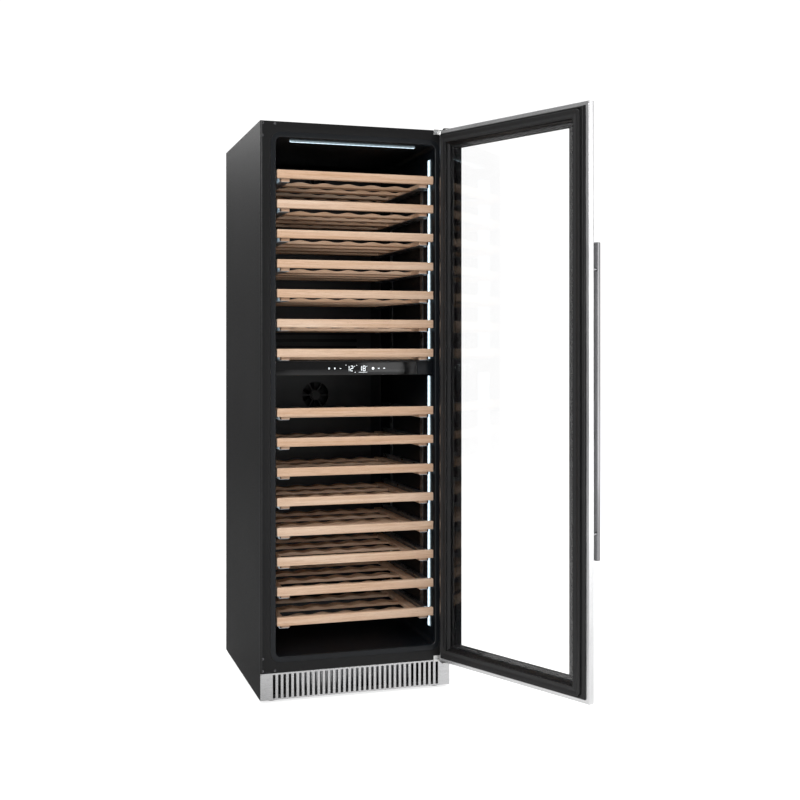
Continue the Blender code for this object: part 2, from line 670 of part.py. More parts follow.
def make_condenser():
    """Finned condenser block behind the kick grille."""
    front = FRONT + CONDENSER_SETBACK
    middle = front + CONDENSER_DEPTH / 2
    left = -CONDENSER_WIDTH / 2
    pitch = (CONDENSER_WIDTH - FIN_THICKNESS) / (CONDENSER_FINS - 1)
    fins = [(left + i * pitch, left + i * pitch + FIN_THICKNESS) for i in range(CONDENSER_FINS)]
    near = [p for a, b in fins for p in ((a, middle - FIN_THICKNESS), (a, front), (b, front),
                                         (b, middle - FIN_THICKNESS))]
    far = [p for a, b in reversed(fins) for p in ((b, middle + FIN_THICKNESS), (b, front + CONDENSER_DEPTH),
                                                  (a, front + CONDENSER_DEPTH), (a, middle + FIN_THICKNESS))]
    bottom = PAN_TOP + GAP
    condenser = plate("condenser", near[1:-1] + far[1:-1], bottom, bottom + CONDENSER_HEIGHT, "Z")
    return finish(condenser, (0.5, 0.5, 0.5), 0.4, 1.0)


def make_condenser_shroud():
    """Plate with a guarded round hole that carries the condenser fan."""
    near, far = SHROUD_FRONT, SHROUD_FRONT + SHROUD_THICKNESS
    bottom = PAN_TOP + GAP
    shroud = block("condenser_fan_shroud", (COND_FAN_X - SHROUD_WIDTH / 2, near, bottom),
                   (COND_FAN_X + SHROUD_WIDTH / 2, far, bottom + SHROUD_HEIGHT))
    hub = (COND_FAN_X, (near + far) / 2, COND_FAN_Z)
    cut(shroud, cylinder("shroud_hole", (COND_FAN_X, near - BEYOND, COND_FAN_Z),
                         (COND_FAN_X, far + BEYOND, COND_FAN_Z), COND_FAN_RADIUS + FAN_TIP_GAP, 24, True))
    join(shroud, *fan_guard("shroud", hub, COND_FAN_RADIUS + FAN_TIP_GAP + SPIDER_BAR, COND_FAN_DEPTH))
    return finish(shroud, (0.03, 0.03, 0.03), 0.5, 0.0)


def make_grille():
    """Stainless kick grille with a row of upright slots."""
    top = GRILLE_TOP
    grille = block("kick_grille", (-HALF_WIDTH, FRONT, FLOOR_GAP), (HALF_WIDTH, SKIN_BACK, top))
    count = int((HALF_WIDTH - GRILLE_END) / GRILLE_PITCH)
    slots = [((i * GRILLE_PITCH - GRILLE_SLOT / 2, FRONT - BEYOND, FLOOR_GAP + GRILLE_BORDER),
              (i * GRILLE_PITCH + GRILLE_SLOT / 2, SKIN_BACK + BEYOND, top - GRILLE_BORDER))
             for i in range(-count, count + 1)]
    cut(grille, blocks("kick_grille_slots", slots))
    return finish(grille, (0.62, 0.62, 0.61), 0.28, 1.0)


def make_foot(name, x, y):
    """Levelling foot: a round pad on a threaded stud that screws through the base pan."""
    foot = cylinder(name, (0.0, 0.0, 0.0), (0.0, 0.0, FOOT_HEIGHT), FOOT_RADIUS, 20)
    foot.location = (x, y, 0.0)
    stud = cylinder(name + "_stud", (x, y, FOOT_HEIGHT / 2), (x, y, FOOT_HEIGHT + STUD_LENGTH),
                    STUD_RADIUS, 12, True)
    join(foot, stud)
    return finish(foot, (0.05, 0.05, 0.05), 0.6, 0.0)


def make_inlet():
    """Mains inlet in the back panel: a flanged socket with three pins."""
    width, height, depth = INLET_SIZE
    face = BACK - SHEET
    low = (INLET_X - width / 2, face - depth, INLET_Z - height / 2)
    high = (INLET_X + width / 2, face + SHEET, INLET_Z + height / 2)
    inlet = block("power_inlet", low, high)
    join(inlet, block("power_inlet_flange",
                      (low[0] - INLET_FLANGE, face, low[2] - INLET_FLANGE),
                      (high[0] + INLET_FLANGE, face + 2 * SHEET, high[2] + INLET_FLANGE), True))
    wall = 2 * SHEET
    cut(inlet, block("power_inlet_socket", (low[0] + wall, face - depth + wall, low[2] + wall),
                     (high[0] - wall, face + BEYOND, high[2] - wall), True))
    pins = [((INLET_X + dx - SHEET, face - depth + SHEET, INLET_Z + dz - 2 * SHEET),
             (INLET_X + dx + SHEET, face - 2 * SHEET, INLET_Z + dz + 2 * SHEET))
            for dx, dz in INLET_PINS]
    join(inlet, blocks("power_inlet_pins", pins))
    return finish(inlet, (0.02, 0.02, 0.02), 0.5, 0.0)


def runner_bottom(board_top):
    """Height of the underside of a shelf's runners."""
    return board_top - DECK_DROP - DECK_THICKNESS - RUNNER_SHEET


def make_slides(name, side, board_tops):
    """Fixed slide members of one side of a zone, joined by two upright mounting strips."""
    rack = None
    for index, top in enumerate(board_tops):
        low = runner_bottom(top)
        high = low + RUNNER_HEIGHT
        web = SLIDE_OUTER + BITE
        outline = [(side * x, z) for x, z in (
            (SLIDE_INNER, low), (web, low), (web, high), (SLIDE_INNER, high),
            (SLIDE_INNER, high - SLIDE_SHEET), (web - SLIDE_SHEET, high - SLIDE_SHEET),
            (web - SLIDE_SHEET, low + SLIDE_SHEET), (SLIDE_INNER, low + SLIDE_SHEET))]
        member = plate(f"{name}_{index}" if rack else name, outline, SLIDE_FRONT, DECK_BACK, "Y",
                       rack is not None)
        if rack:
            join(rack, member)
        else:
            rack = member
    inner, outer = sorted((side * SLIDE_OUTER, side * (SLIDE_OUTER + SLIDE_STRIP)))
    bottom = min(runner_bottom(top) for top in board_tops)
    high = max(runner_bottom(top) for top in board_tops) + RUNNER_HEIGHT
    for end, y in (("front", SLIDE_FRONT + SLIDE_STRIP_INSET),
                   ("rear", DECK_BACK - SLIDE_STRIP_INSET - SLIDE_STRIP_WIDTH)):
        join(rack, block(f"{name}_strip_{end}", (inner, y, bottom + SLIDE_SHEET / 2),
                         (outer, y + SLIDE_STRIP_WIDTH, high - SLIDE_SHEET / 2), True))
    return finish(rack, (0.6, 0.6, 0.6), 0.35, 1.0)


def make_shelf_mesh():
    """One sliding shelf: front board, slatted deck and two runners.

    Its origin is on the board's top front edge.
    """
    deck_top = -DECK_DROP
    deck_low = deck_top - DECK_THICKNESS
    length = DECK_BACK - BOARD_FRONT
    flange_inner = RUNNER_OUTER - RUNNER_FLANGE
    web = RUNNER_OUTER - RUNNER_THICKNESS
    runner_low = deck_low - RUNNER_SHEET
    runner_high = runner_low + RUNNER_HEIGHT
    deck_half = web - RUNNER_GAP
    board = block("shelf", (-BOARD_HALF, 0.0, -BOARD_HEIGHT), (BOARD_HALF, BOARD_THICKNESS, 0.0))
    deck = block("shelf_deck", (-deck_half, BOARD_THICKNESS / 2, deck_low),
                 (deck_half, length, deck_top), True)
    bay = (length - BOARD_THICKNESS - DECK_SLATS * DECK_SLAT) / DECK_SLATS
    gaps = []
    for i in range(DECK_SLATS):
        start = BOARD_THICKNESS + i * (bay + DECK_SLAT)
        gaps.append(((-deck_half + DECK_RAIL, start, deck_low - BEYOND),
                     (deck_half - DECK_RAIL, start + bay, deck_top + BEYOND)))
    cut(deck, blocks("shelf_gaps", gaps))
    join(board, deck)
    for side in (-1, 1):
        outline = [(side * x, z) for x, z in (
            (flange_inner, runner_low), (RUNNER_OUTER, runner_low), (RUNNER_OUTER, runner_high),
            (web, runner_high), (web, deck_low + BITE), (flange_inner, deck_low + BITE))]
        join(board, plate(f"shelf_runner_{side}", outline, BOARD_THICKNESS / 2, length, "Y", True))
    finish(board, (0.74, 0.53, 0.34), 0.5, 0.0)
    mesh = settle(board)
    bpy.data.objects.remove(board, do_unlink=True)
    return mesh


def make_shelves(name, board_tops, mesh):
    """The shelves of one zone, numbered from the top, each at its own height."""
    for number, top in enumerate(sorted(board_tops, reverse=True), 1):
        shelf = bpy.data.objects.new(f"{name}_{number}", mesh)
        shelf.location = (0.0, BOARD_FRONT, top)
        bpy.data.collections["wine_cooler"].objects.link(shelf)


def make_bracket(name, up, door_end, height):
    """Hinge bracket: a screwed leg on the front frame, an arm beyond the door's end and a riveted pin.

    up is +1 for the bracket over the door and -1 for the one under it.
    """
    arm_near = door_end + up * DOOR_CLOSED_GAP
    arm_far = arm_near + up * BRACKET_SHEET
    leg_back = FRONT - GAP
    arm_front = HINGE.y - BRACKET_REACH
    right = HINGE.x + BRACKET_ARM / 2
    low, high = sorted((arm_near, arm_far))
    bracket = block(name, (right - BRACKET_ARM, arm_front, low), (right, leg_back, high))
    foot_low, foot_high = sorted((arm_far - up * height, arm_far))
    join(bracket, block(name + "_leg", (right - BRACKET_WIDTH, leg_back - BRACKET_SHEET, foot_low),
                        (right, leg_back, foot_high), True))
    join(bracket, cylinder(name + "_pin", (HINGE.x, HINGE.y, arm_far - up * BRACKET_SHEET / 2),
                           (HINGE.x, HINGE.y, arm_near - up * PIN_LENGTH), PIN_RADIUS, 16, True))
    return finish(bracket, (0.55, 0.55, 0.55), 0.35, 1.0)


def door_block(name, inset, front, back, tool=True, radius=0.0, segments=4):
    """A block the size of the door, smaller all round by inset."""
    return block(name, (-HALF_WIDTH + inset, front, DOOR_BOTTOM + inset),
                 (HALF_WIDTH - inset, back, DOOR_TOP - inset), tool, 1, radius, segments)


def make_trim():
    """Stainless door trim: a folded channel all round, with holes for the hinge pins."""
    trim = door_block("door_trim", 0.0, DOOR_FACE, LEDGE, False)
    cut(trim, door_block("trim_channel", SHEET, DOOR_FACE + SHEET, LEDGE - SHEET))
    cut(trim, door_block("trim_front_mouth", TRIM_FACE, DOOR_FACE - BEYOND, DOOR_FACE + 2 * SHEET))
    cut(trim, door_block("trim_back_mouth", TRIM_LEDGE, LEDGE - 2 * SHEET, LEDGE + BEYOND))
    cut(trim, cylinder("trim_pin_hole", (HINGE.x, HINGE.y, DOOR_BOTTOM - BEYOND),
                       (HINGE.x, HINGE.y, DOOR_TOP + BEYOND), PIN_RADIUS + PIN_GAP, 16, True))
    return finish(trim, (0.62, 0.62, 0.61), 0.28, 1.0)


def make_inner_frame():
    """Black plastic frame inside the trim: it holds the panes apart, and the gasket."""
    top = LEDGE + INNER_RISE
    frame = door_block("door_inner_frame", TRIM_LEDGE + GAP, DOOR_FACE + SHEET + PANE + 2 * GAP, top, False)
    cut(frame, door_block("inner_frame_spacer_mouth", INNER_BORDER + SPACER_REVEAL,
                          DOOR_FACE - BEYOND, INNER_PANE_BACK))
    cut(frame, door_block("inner_frame_mouth", INNER_BORDER, INNER_PANE_BACK - PANE, top + BEYOND))
    cut(frame, door_block("inner_frame_rebate", INNER_PANE_INSET - PANE_HOLD,
                          INNER_PANE_BACK - PANE - GAP, INNER_PANE_BACK + GAP))
    cut(frame, make_bevel_tool(top))
    groove = door_block("gasket_groove", GASKET_INSET - GAP, top - GASKET_SEAT - GAP, top + BEYOND,
                        True, GASKET_RADIUS + GAP)
    core = door_block("gasket_groove_core", GASKET_INSET + GASKET_WIDTH + GAP, top - BEYOND,
                      top + 2 * BEYOND, True, GASKET_RADIUS)
    cut(frame, cut(groove, core))
    return finish(frame, (0.022, 0.022, 0.023), 0.5, 0.0)


def make_bevel_tool(top):
    """Tapered tool for the inner frame's sloping inner edge, down to the inner pane."""
    bm = bmesh.new()
    slope = INNER_SLOPE / INNER_EDGE_DROP
    steps = ((INNER_PANE_BACK, INNER_FLAT + (top - INNER_PANE_BACK) * slope),
             (top + INNER_EDGE_DROP, INNER_FLAT - INNER_SLOPE))
    rings = []
    for y, inset in steps:
        x, low, high = HALF_WIDTH - inset, DOOR_BOTTOM + inset, DOOR_TOP - inset
        rings.append([bm.verts.new(p) for p in ((-x, y, low), (x, y, low), (x, y, high), (-x, y, high))])
    bm.faces.new(rings[0])
    bm.faces.new(reversed(rings[1]))
    for i in range(4):
        j = (i + 1) % 4
        bm.faces.new((rings[0][j], rings[0][i], rings[1][i], rings[1][j]))
    bmesh.ops.recalc_face_normals(bm, faces=bm.faces)
    mesh = bpy.data.meshes.new("inner_frame_bevel")
    bm.to_mesh(mesh)
    bm.free()
    return place("inner_frame_bevel", mesh, True)


def make_gasket():
    """Rubber gasket ring seated in the inner frame, just clear of the cabinet when the door is shut."""
    seat = LEDGE + INNER_RISE - GASKET_SEAT
    gasket = door_block("door_gasket", GASKET_INSET, seat, FRONT - DOOR_CLOSED_GAP, False, GASKET_RADIUS)
    cut(gasket, door_block("gasket_mouth", GASKET_INSET + GASKET_WIDTH, seat - BEYOND, FRONT + BEYOND,
                           True, GASKET_RADIUS - GAP))
    return finish(gasket, (0.02, 0.02, 0.02), 0.75, 0.0)


def make_panes():
    """The door's two clear panes."""
    front = DOOR_FACE + SHEET + GAP
    outer = door_block("outer_glass", PANE_INSET, front, front + PANE, False)
    inner = door_block("inner_glass", INNER_PANE_INSET, INNER_PANE_BACK - PANE, INNER_PANE_BACK, False)
    return [finish(pane, (0.85, 0.9, 0.9), 0.03, 0.0) for pane in (outer, inner)]


def make_handle():
    """Square bar handle on two round posts."""
    back = DOOR_FACE - HANDLE_STANDOFF
    half = HANDLE_WIDTH / 2
    bar = block("handle_bar", (HANDLE_X - half, back - HANDLE_DEPTH, HANDLE_Z - HANDLE_LENGTH / 2),
                (HANDLE_X + half, back, HANDLE_Z + HANDLE_LENGTH / 2), False, 2, HANDLE_ROUND, 2)
    finish(bar, (0.62, 0.62, 0.61), 0.25, 1.0)
    for name, up in (("handle_post_upper", 1), ("handle_post_lower", -1)):
        z = HANDLE_Z + up * (HANDLE_LENGTH / 2 - POST_INSET)
        post = cylinder(name, (HANDLE_X, back + GAP, z), (HANDLE_X, DOOR_FACE - GAP, z), POST_RADIUS, 16)
        finish(post, (0.62, 0.62, 0.61), 0.2, 1.0)


def hang_door():
    """Hang everything of the door on an empty on the hinge axis, and swing it open."""
    hinge = bpy.data.objects.new("door_hinge", None)
    hinge.location = HINGE
    bpy.data.collections["wine_cooler"].objects.link(hinge)
    existing = set(bpy.data.objects)
    make_trim()
    make_inner_frame()
    make_gasket()
    make_panes()
    make_handle()
    for obj in set(bpy.data.objects) - existing:
        obj.parent = hinge
        obj.matrix_parent_inverse = Matrix.Translation(-HINGE)
    hinge.rotation_euler.z = math.radians(DOOR_OPEN)


def main():
    """Build the wine cooler."""
    clear_scene()
    new_collection("wine_cooler")
    new_collection("tools")
    make_side_panel("left_side_panel", -1)
    make_side_panel("right_side_panel", 1)
    make_top_panel()
    make_back_panel()
    make_front_frame()
    make_base_pan()
    make_foam()
    make_liner()
    make_divider()
    make_control_panel()
    make_ceiling_light()
    upper = [UPPER_FIRST + i * SHELF_PITCH for i in range(UPPER_SHELVES)]
    lower = [LOWER_FIRST + i * SHELF_PITCH for i in range(LOWER_SHELVES)]
    for word, side in (("left", -1), ("right", 1)):
        make_side_light(f"upper_light_{word}", side, DIVIDER_TOP + LIGHT_END,
                        CAVITY_TOP - UPPER_LIGHT_TOP_GAP)
        make_side_light(f"lower_light_{word}", side, CAVITY_BOTTOM + LOWER_LIGHT_BOTTOM_GAP,
                        DIVIDER_BOTTOM - LIGHT_END)
        make_slides(f"upper_slides_{word}", side, upper)
        make_slides(f"lower_slides_{word}", side, lower)
    for zone, bottom, top in (("upper", DIVIDER_TOP, CAVITY_TOP), ("lower", STEP_TOP, DIVIDER_BOTTOM)):
        duct_top = top - DUCT_END_GAP
        make_duct(f"{zone}_air_duct", bottom + DUCT_END_GAP, duct_top)
        make_fan(f"{zone}_fan", (0.0, FAN_Y, duct_top - FAN_DROP), FAN_RADIUS, FAN_DEPTH, FAN_HUB)
        make_evaporator(f"{zone}_evaporator", bottom + EVAPORATOR_MARGIN,
                        duct_top - FAN_DROP - FAN_RADIUS - TUBE_PITCH / 2)
    make_compressor()
    make_condenser()
    make_condenser_shroud()
    fan_front = SHROUD_FRONT + SHROUD_THICKNESS + SPIDER_BAR
    make_fan("condenser_fan", (COND_FAN_X, fan_front + COND_FAN_DEPTH / 2, COND_FAN_Z),
             COND_FAN_RADIUS, COND_FAN_DEPTH, COND_FAN_HUB)
    make_grille()
    for name, (x, y) in foot_places().items():
        make_foot(name, x, y)
    make_inlet()
    make_bracket("top_hinge_bracket", 1, DOOR_TOP, TOP_BRACKET_HEIGHT)
    make_bracket("bottom_hinge_bracket", -1, DOOR_BOTTOM, BOTTOM_BRACKET_HEIGHT)
    shelf = make_shelf_mesh()
    make_shelves("shelf_upper", upper, shelf)
    make_shelves("shelf_lower", lower, shelf)
    hang_door()


main()
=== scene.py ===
"""Looks of a tall two-zone wine cooler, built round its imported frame.

Metres, +Z up, the cabinet's front towards -Y. Every piece takes its place from the frame's own solids.
Pieces of the door are worked out with the door shut, and then swung to the angle it rests at.
"""
import json
import math

import bmesh
import bpy
import numpy as np
from bpy.props import FloatProperty, FloatVectorProperty, IntProperty, PointerProperty
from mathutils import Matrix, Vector


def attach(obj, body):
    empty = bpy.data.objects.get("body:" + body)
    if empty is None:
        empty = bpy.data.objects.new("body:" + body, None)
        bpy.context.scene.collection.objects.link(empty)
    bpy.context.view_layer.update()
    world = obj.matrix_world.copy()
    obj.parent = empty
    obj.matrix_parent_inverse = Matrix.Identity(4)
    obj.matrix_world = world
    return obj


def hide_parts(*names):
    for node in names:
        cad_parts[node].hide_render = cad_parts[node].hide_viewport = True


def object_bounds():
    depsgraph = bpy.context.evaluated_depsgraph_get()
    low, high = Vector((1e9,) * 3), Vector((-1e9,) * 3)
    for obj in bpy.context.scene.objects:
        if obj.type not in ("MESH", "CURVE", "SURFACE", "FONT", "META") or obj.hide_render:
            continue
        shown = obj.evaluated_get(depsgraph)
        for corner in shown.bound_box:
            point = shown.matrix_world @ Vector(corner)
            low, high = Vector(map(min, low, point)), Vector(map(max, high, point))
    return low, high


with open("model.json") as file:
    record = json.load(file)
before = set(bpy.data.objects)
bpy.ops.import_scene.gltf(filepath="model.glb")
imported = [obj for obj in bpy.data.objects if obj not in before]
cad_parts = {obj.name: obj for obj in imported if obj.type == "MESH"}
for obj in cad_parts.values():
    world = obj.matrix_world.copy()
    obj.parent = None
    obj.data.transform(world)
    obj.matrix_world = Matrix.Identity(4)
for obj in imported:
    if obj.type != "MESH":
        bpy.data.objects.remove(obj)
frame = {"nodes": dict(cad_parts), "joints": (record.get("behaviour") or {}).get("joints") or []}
cad_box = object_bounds()

bl_info = {
    "name": "Wine Cooler Looks",
    "version": (1, 0, 0),
    "blender": (4, 5, 0),
    "location": "View3D > Sidebar > Wine Cooler",
    "description": "Builds the finished surfaces and materials of a two-zone wine cooler",
    "category": "Object",
}

MM = 0.001
FACE_ANGLE = math.radians(33.0)    # edges sharper than this stay sharp
WELD = 1e-6
SKIN = 0.0002                      # hairline between pieces that touch


# ---------------------------------------------------------------- colours and places

def linear(colour):
    """Linear red, green and blue of an sRGB hex colour. A colour property is linear already."""
    if not isinstance(colour, str):
        return tuple(colour)
    channels = np.array([int(colour[i:i + 2], 16) for i in (1, 3, 5)]) / 255
    curve = np.where(channels <= 0.04045, channels / 12.92, ((channels + 0.055) / 1.055) ** 2.4)
    return tuple(float(c) for c in curve)


def vertices_of(node):
    """A CAD node's points as an array."""
    mesh = frame["nodes"][node].data
    points = np.zeros(len(mesh.vertices) * 3)
    mesh.vertices.foreach_get("co", points)
    return points.reshape(-1, 3)


def box_of(node):
    """Lowest and highest corner of a CAD node, as arrays."""
    points = vertices_of(node)
    return points.min(0), points.max(0)


def joint(name):
    """A joint of the frame by its name."""
    return next(j for j in frame["joints"] if j["name"] == name)


HINGE = Vector(joint("door_hinge")["pos_m"])
DOOR_ANGLE = -math.radians(joint("door_hinge")["range_deg"][0])


def swing(points, angle=DOOR_ANGLE):
    """Points turned about the hinge: the shut door's places become the open door's."""
    c, s = math.cos(angle), math.sin(angle)
    out = np.array(points, float)
    x, y = out[..., 0] - HINGE.x, out[..., 1] - HINGE.y
    out[..., 0] = HINGE.x + c * x - s * y
    out[..., 1] = HINGE.y + s * x + c * y
    return out


def shut_box(node):
    """Lowest and highest corner of a door node with the door shut."""
    points = swing(vertices_of(node), -DOOR_ANGLE)
    return points.min(0), points.max(0)


# ---------------------------------------------------------------- surfaces
# A shape is (points, uv, faces): an (n, 3) array, an (n, 2) array in metres along and across, and
# a list of face arrays. Grids repeat the points of their seams, and the weld in piece() closes them.

def grid(points, uv, caps=False):
    """A shape over points[u, v]: quads between neighbours, and flat caps on the first and last row."""
    rows, columns = points.shape[:2]
    index = np.arange(rows * columns).reshape(rows, columns)
    quads = np.stack([index[:-1, :-1], index[1:, :-1], index[1:, 1:], index[:-1, 1:]], -1)
    faces = [quads.reshape(-1, 4)]
    if caps:
        faces += [index[:1, -2::-1], index[-1:, :-1]]
    return points.reshape(-1, 3), uv.reshape(-1, 2), faces


def merged(shapes):
    """Several shapes as one."""
    points, uv, faces, start = [], [], [], 0
    for shape_points, shape_uv, shape_faces in shapes:
        points.append(shape_points)
        uv.append(shape_uv)
        faces += [block + start for block in shape_faces]
        start += len(shape_points)
    return np.concatenate(points), np.concatenate(uv), faces


def distance_along(line):
    """Distance from the first point of a line to each of its points."""
    steps = np.linalg.norm(np.diff(line, axis=0), axis=-1)
    return np.concatenate([[0.0], np.cumsum(steps)])


def rounded_loop(half_a, half_b, radius, steps=6):
    """Loops of points (a, b) round rounded rectangles about zero, one for each entry of the arrays.

    Each quarter is corner centre + radius * (cos, sin) of an angle that sweeps 90 degrees.
    """
    half_a, half_b, radius = np.broadcast_arrays(*(np.atleast_1d(np.asarray(v, float))
                                                   for v in (half_a, half_b, radius)))
    angle = (np.linspace(0, math.pi / 2, steps + 1) + np.arange(4)[:, None] * math.pi / 2).ravel()
    side_a = np.repeat([1, -1, -1, 1], steps + 1)
    side_b = np.repeat([1, 1, -1, -1], steps + 1)
    r = radius[:, None]
    a = side_a * (half_a[:, None] - r) + r * np.cos(angle)
    b = side_b * (half_b[:, None] - r) + r * np.sin(angle)
    loops = np.stack([a, b], -1)
    return np.concatenate([loops, loops[:, :1]], 1)


def rounded_bar(low, high, axis, radius, steps=3):
    """A box whose edges are all rounded: a rounded rectangle carried along an axis.

    Near each end the section shrinks by radius * (1 - cos t) as it moves radius * sin t outwards.
    """
    low, high = np.asarray(low, float), np.asarray(high, float)
    across = [i for i in range(3) if i != axis]
    half, middle = (high - low)[across] / 2, (high + low)[across] / 2
    turn = np.linspace(0, math.pi / 2, steps + 1)
    shrink = radius * (1 - np.sin(turn)) * 0.98
    place = low[axis] + radius * (1 - np.cos(turn))
    shrink = np.concatenate([shrink, shrink[::-1]])
    place = np.concatenate([place, (low[axis] + high[axis] - place)[::-1]])
    loops = rounded_loop(half[0] - shrink, half[1] - shrink, radius - shrink, steps)
    points = np.zeros(loops.shape[:2] + (3,))
    points[..., across[0]] = loops[..., 0] + middle[0]
    points[..., across[1]] = loops[..., 1] + middle[1]
    points[..., axis] = place[:, None]
    around = np.broadcast_to(distance_along(loops[steps]), points.shape[:2])
    uv = np.stack([points[..., axis], around], -1)
    return grid(points, uv, True)


def moulding(insets, depths, radii, low, high, steps=8):
    """A closed section carried round a door-sized rectangle, in the plane of x and z.

    Point k of the section follows the rectangle set in by insets[k], at y = depths[k], and turns
    each corner on radii[k].
    """
    insets, depths, radii = (np.append(v, v[0]) for v in map(np.asarray, (insets, depths, radii)))
    half = (high - low) / 2
    loops = rounded_loop(half[0] - insets, half[2] - insets, radii, steps)
    return ring(loops, depths, (low + high) / 2)


def ring(loops, depths, middle):
    """A shape from loops in x and z about a middle, each at its own y."""
    points = np.zeros(loops.shape[:2] + (3,))
    points[..., 0] = loops[..., 0] + middle[0]
    points[..., 1] = np.asarray(depths)[:, None]
    points[..., 2] = loops[..., 1] + middle[2]
    section = distance_along(points[:, 0])
    length = distance_along(points[0])
    uv = np.stack(np.broadcast_arrays(length[None, :], section[:, None]), -1)
    return grid(points, uv)


def folded_sheet(corners, radius, thickness, steps=4):
    """Section of a sheet folded along a line of corners: both faces, as two lines of points.

    Each fold is an arc that leaves the line a radius before its corner and meets it a radius after;
    the two faces stand half a thickness to either side, along the line's normal.
    """
    corners = np.asarray(corners, float)
    line = [corners[:1]]
    for before, corner, after in zip(corners, corners[1:], corners[2:]):
        t = np.linspace(0, 1, steps + 1)[:, None]
        into = (before - corner) / np.linalg.norm(before - corner)
        out = (after - corner) / np.linalg.norm(after - corner)
        blend = np.sin(t * math.pi / 2)
        line.append(corner + radius * (into * (1 - blend) + out * (1 - np.cos(t * math.pi / 2))))
    line.append(corners[-1:])
    line = np.concatenate(line)
    along = np.gradient(line, axis=0)
    normal = np.stack([along[:, 1], -along[:, 0]], -1)
    normal /= np.linalg.norm(normal, axis=1)[:, None]
    return line + normal * thickness / 2, line - normal * thickness / 2


def extruded_sheet(faces, starts, ends, place):
    """A folded sheet between two ends, which may differ point by point, as in a mitre.

    place turns arrays (a, b, length) into points.
    """
    near, far = faces
    section = np.concatenate([near, far[::-1], near[:1]])
    start, end = (np.concatenate([v[0], v[1][::-1], v[0][:1]]) for v in (starts, ends))
    lengths = np.stack([start, end])
    a, b = (np.broadcast_to(section[:, i], lengths.shape) for i in (0, 1))
    points = place(a, b, lengths)
    uv = np.stack([lengths, np.broadcast_to(distance_along(section), lengths.shape)], -1)
    count = len(near)
    shape_points, shape_uv, shape_faces = grid(points, uv)
    i = np.arange(count - 1)
    strip = np.stack([i, i + 1, 2 * count - 2 - i, 2 * count - 1 - i], -1)
    other_end = strip[:, ::-1] + len(section)
    return shape_points, shape_uv, shape_faces + [strip, other_end]


def turned(profile, base, axis, steps=24):
    """A turned shape: profile points (distance along the axis, radius) carried round it.

    A point is base + axis * t + r * (cos a * side + sin a * other side).
    """
    axis = Vector(axis).normalized()
    side = axis.orthogonal().normalized()
    other = np.array(axis.cross(side))
    profile = np.asarray(profile, float)
    angle = np.linspace(0, math.tau, steps + 1)
    around = np.cos(angle)[:, None] * np.array(side) + np.sin(angle)[:, None] * other
    points = np.array(base) + profile[:, None, :1] * np.array(axis) + profile[:, None, 1:] * around
    turn = angle[None, :] * profile[:, 1:].max()
    uv = np.stack(np.broadcast_arrays(turn, distance_along(profile)[:, None]), -1)
    return grid(points, uv)


def piece(name, shape, body, material, replaces=()):
    """Make the object of a shape: welded, facing outwards, shaded smooth and riding on a body."""
    points, uv, faces = shape
    mesh = bpy.data.meshes.new(name)
    mesh.from_pydata(points.tolist(), [], [face for block in faces for face in block.tolist()])
    corner = np.zeros(len(mesh.loops), int)
    mesh.loops.foreach_get("vertex_index", corner)
    layer = mesh.uv_layers.new(name="metres")
    layer.data.foreach_set("uv", uv[corner].astype(np.float32).ravel())
    bm = bmesh.new()
    bm.from_mesh(mesh)
    bmesh.ops.remove_doubles(bm, verts=bm.verts, dist=WELD)
    bmesh.ops.dissolve_degenerate(bm, edges=bm.edges, dist=WELD)
    bmesh.ops.recalc_face_normals(bm, faces=bm.faces)
    bm.to_mesh(mesh)
    bm.free()
    mesh.shade_smooth()
    mesh.set_sharp_from_angle(angle=FACE_ANGLE)
    mesh.materials.append(material)
    obj = bpy.data.objects.new(name, mesh)
    bpy.context.scene.collection.objects.link(obj)
    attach(obj, body)
    if replaces:
        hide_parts(*replaces)
    return obj


def door_piece(name, shape, material, replaces=()):
    """A piece of the door, worked out shut and swung open."""
    points, uv, faces = shape
    return piece(name, (swing(points), uv, faces), "door", material, replaces)


# ---------------------------------------------------------------- material nodes

def add(tree, kind, inputs=None, **settings):
    """Add a node, set or link its inputs by name or number, set its other properties, and return it."""
    node = tree.nodes.new("ShaderNode" + kind)
    for name, value in settings.items():
        setattr(node, name, value)
    for key, value in (inputs or {}).items():
        if isinstance(value, bpy.types.NodeSocket):
            tree.links.new(value, node.inputs[key])
        else:
            node.inputs[key].default_value = value
    return node


def start(name, **values):
    """A new material with its Principled shader's plain values set: (material, node tree, shader)."""
    old = bpy.data.materials.get(name)
    if old:
        bpy.data.materials.remove(old)
    material = bpy.data.materials.new(name)
    material.use_nodes = True
    shader = material.node_tree.nodes["Principled BSDF"]
    for key, value in values.items():
        shader.inputs[key.replace("_", " ")].default_value = value
    return material, material.node_tree, shader


def stretched(tree, sizes, source="Object"):
    """Coordinates divided by real sizes in millimetres, one for each axis or one for all three.

    One unit is then one feature of the pattern.
    """
    coordinates = add(tree, "TexCoord").outputs[source]
    scale = [1 / (size * MM) for size in (sizes if isinstance(sizes, tuple) else (sizes,) * 3)]
    return add(tree, "Mapping", {"Vector": coordinates, "Scale": scale}).outputs["Vector"]


def noise(tree, sizes, detail=2.0, roughness=0.5, distortion=0.0, source="Object"):
    """Noise whose lumps have the given sizes in millimetres."""
    return add(tree, "TexNoise", {"Vector": stretched(tree, sizes, source), "Scale": 1.0, "Detail": detail,
                                  "Roughness": roughness, "Distortion": distortion}).outputs["Fac"]


def between(tree, factor, dark, light, low=0.3, high=0.7):
    """A colour between two sRGB hex colours as the factor goes from low to high."""
    ramp = add(tree, "ValToRGB", {"Fac": factor})
    ramp.color_ramp.elements[0].position = low
    ramp.color_ramp.elements[0].color = (*linear(dark), 1.0)
    ramp.color_ramp.elements[1].position = high
    ramp.color_ramp.elements[1].color = (*linear(light), 1.0)
    return ramp.outputs["Color"]


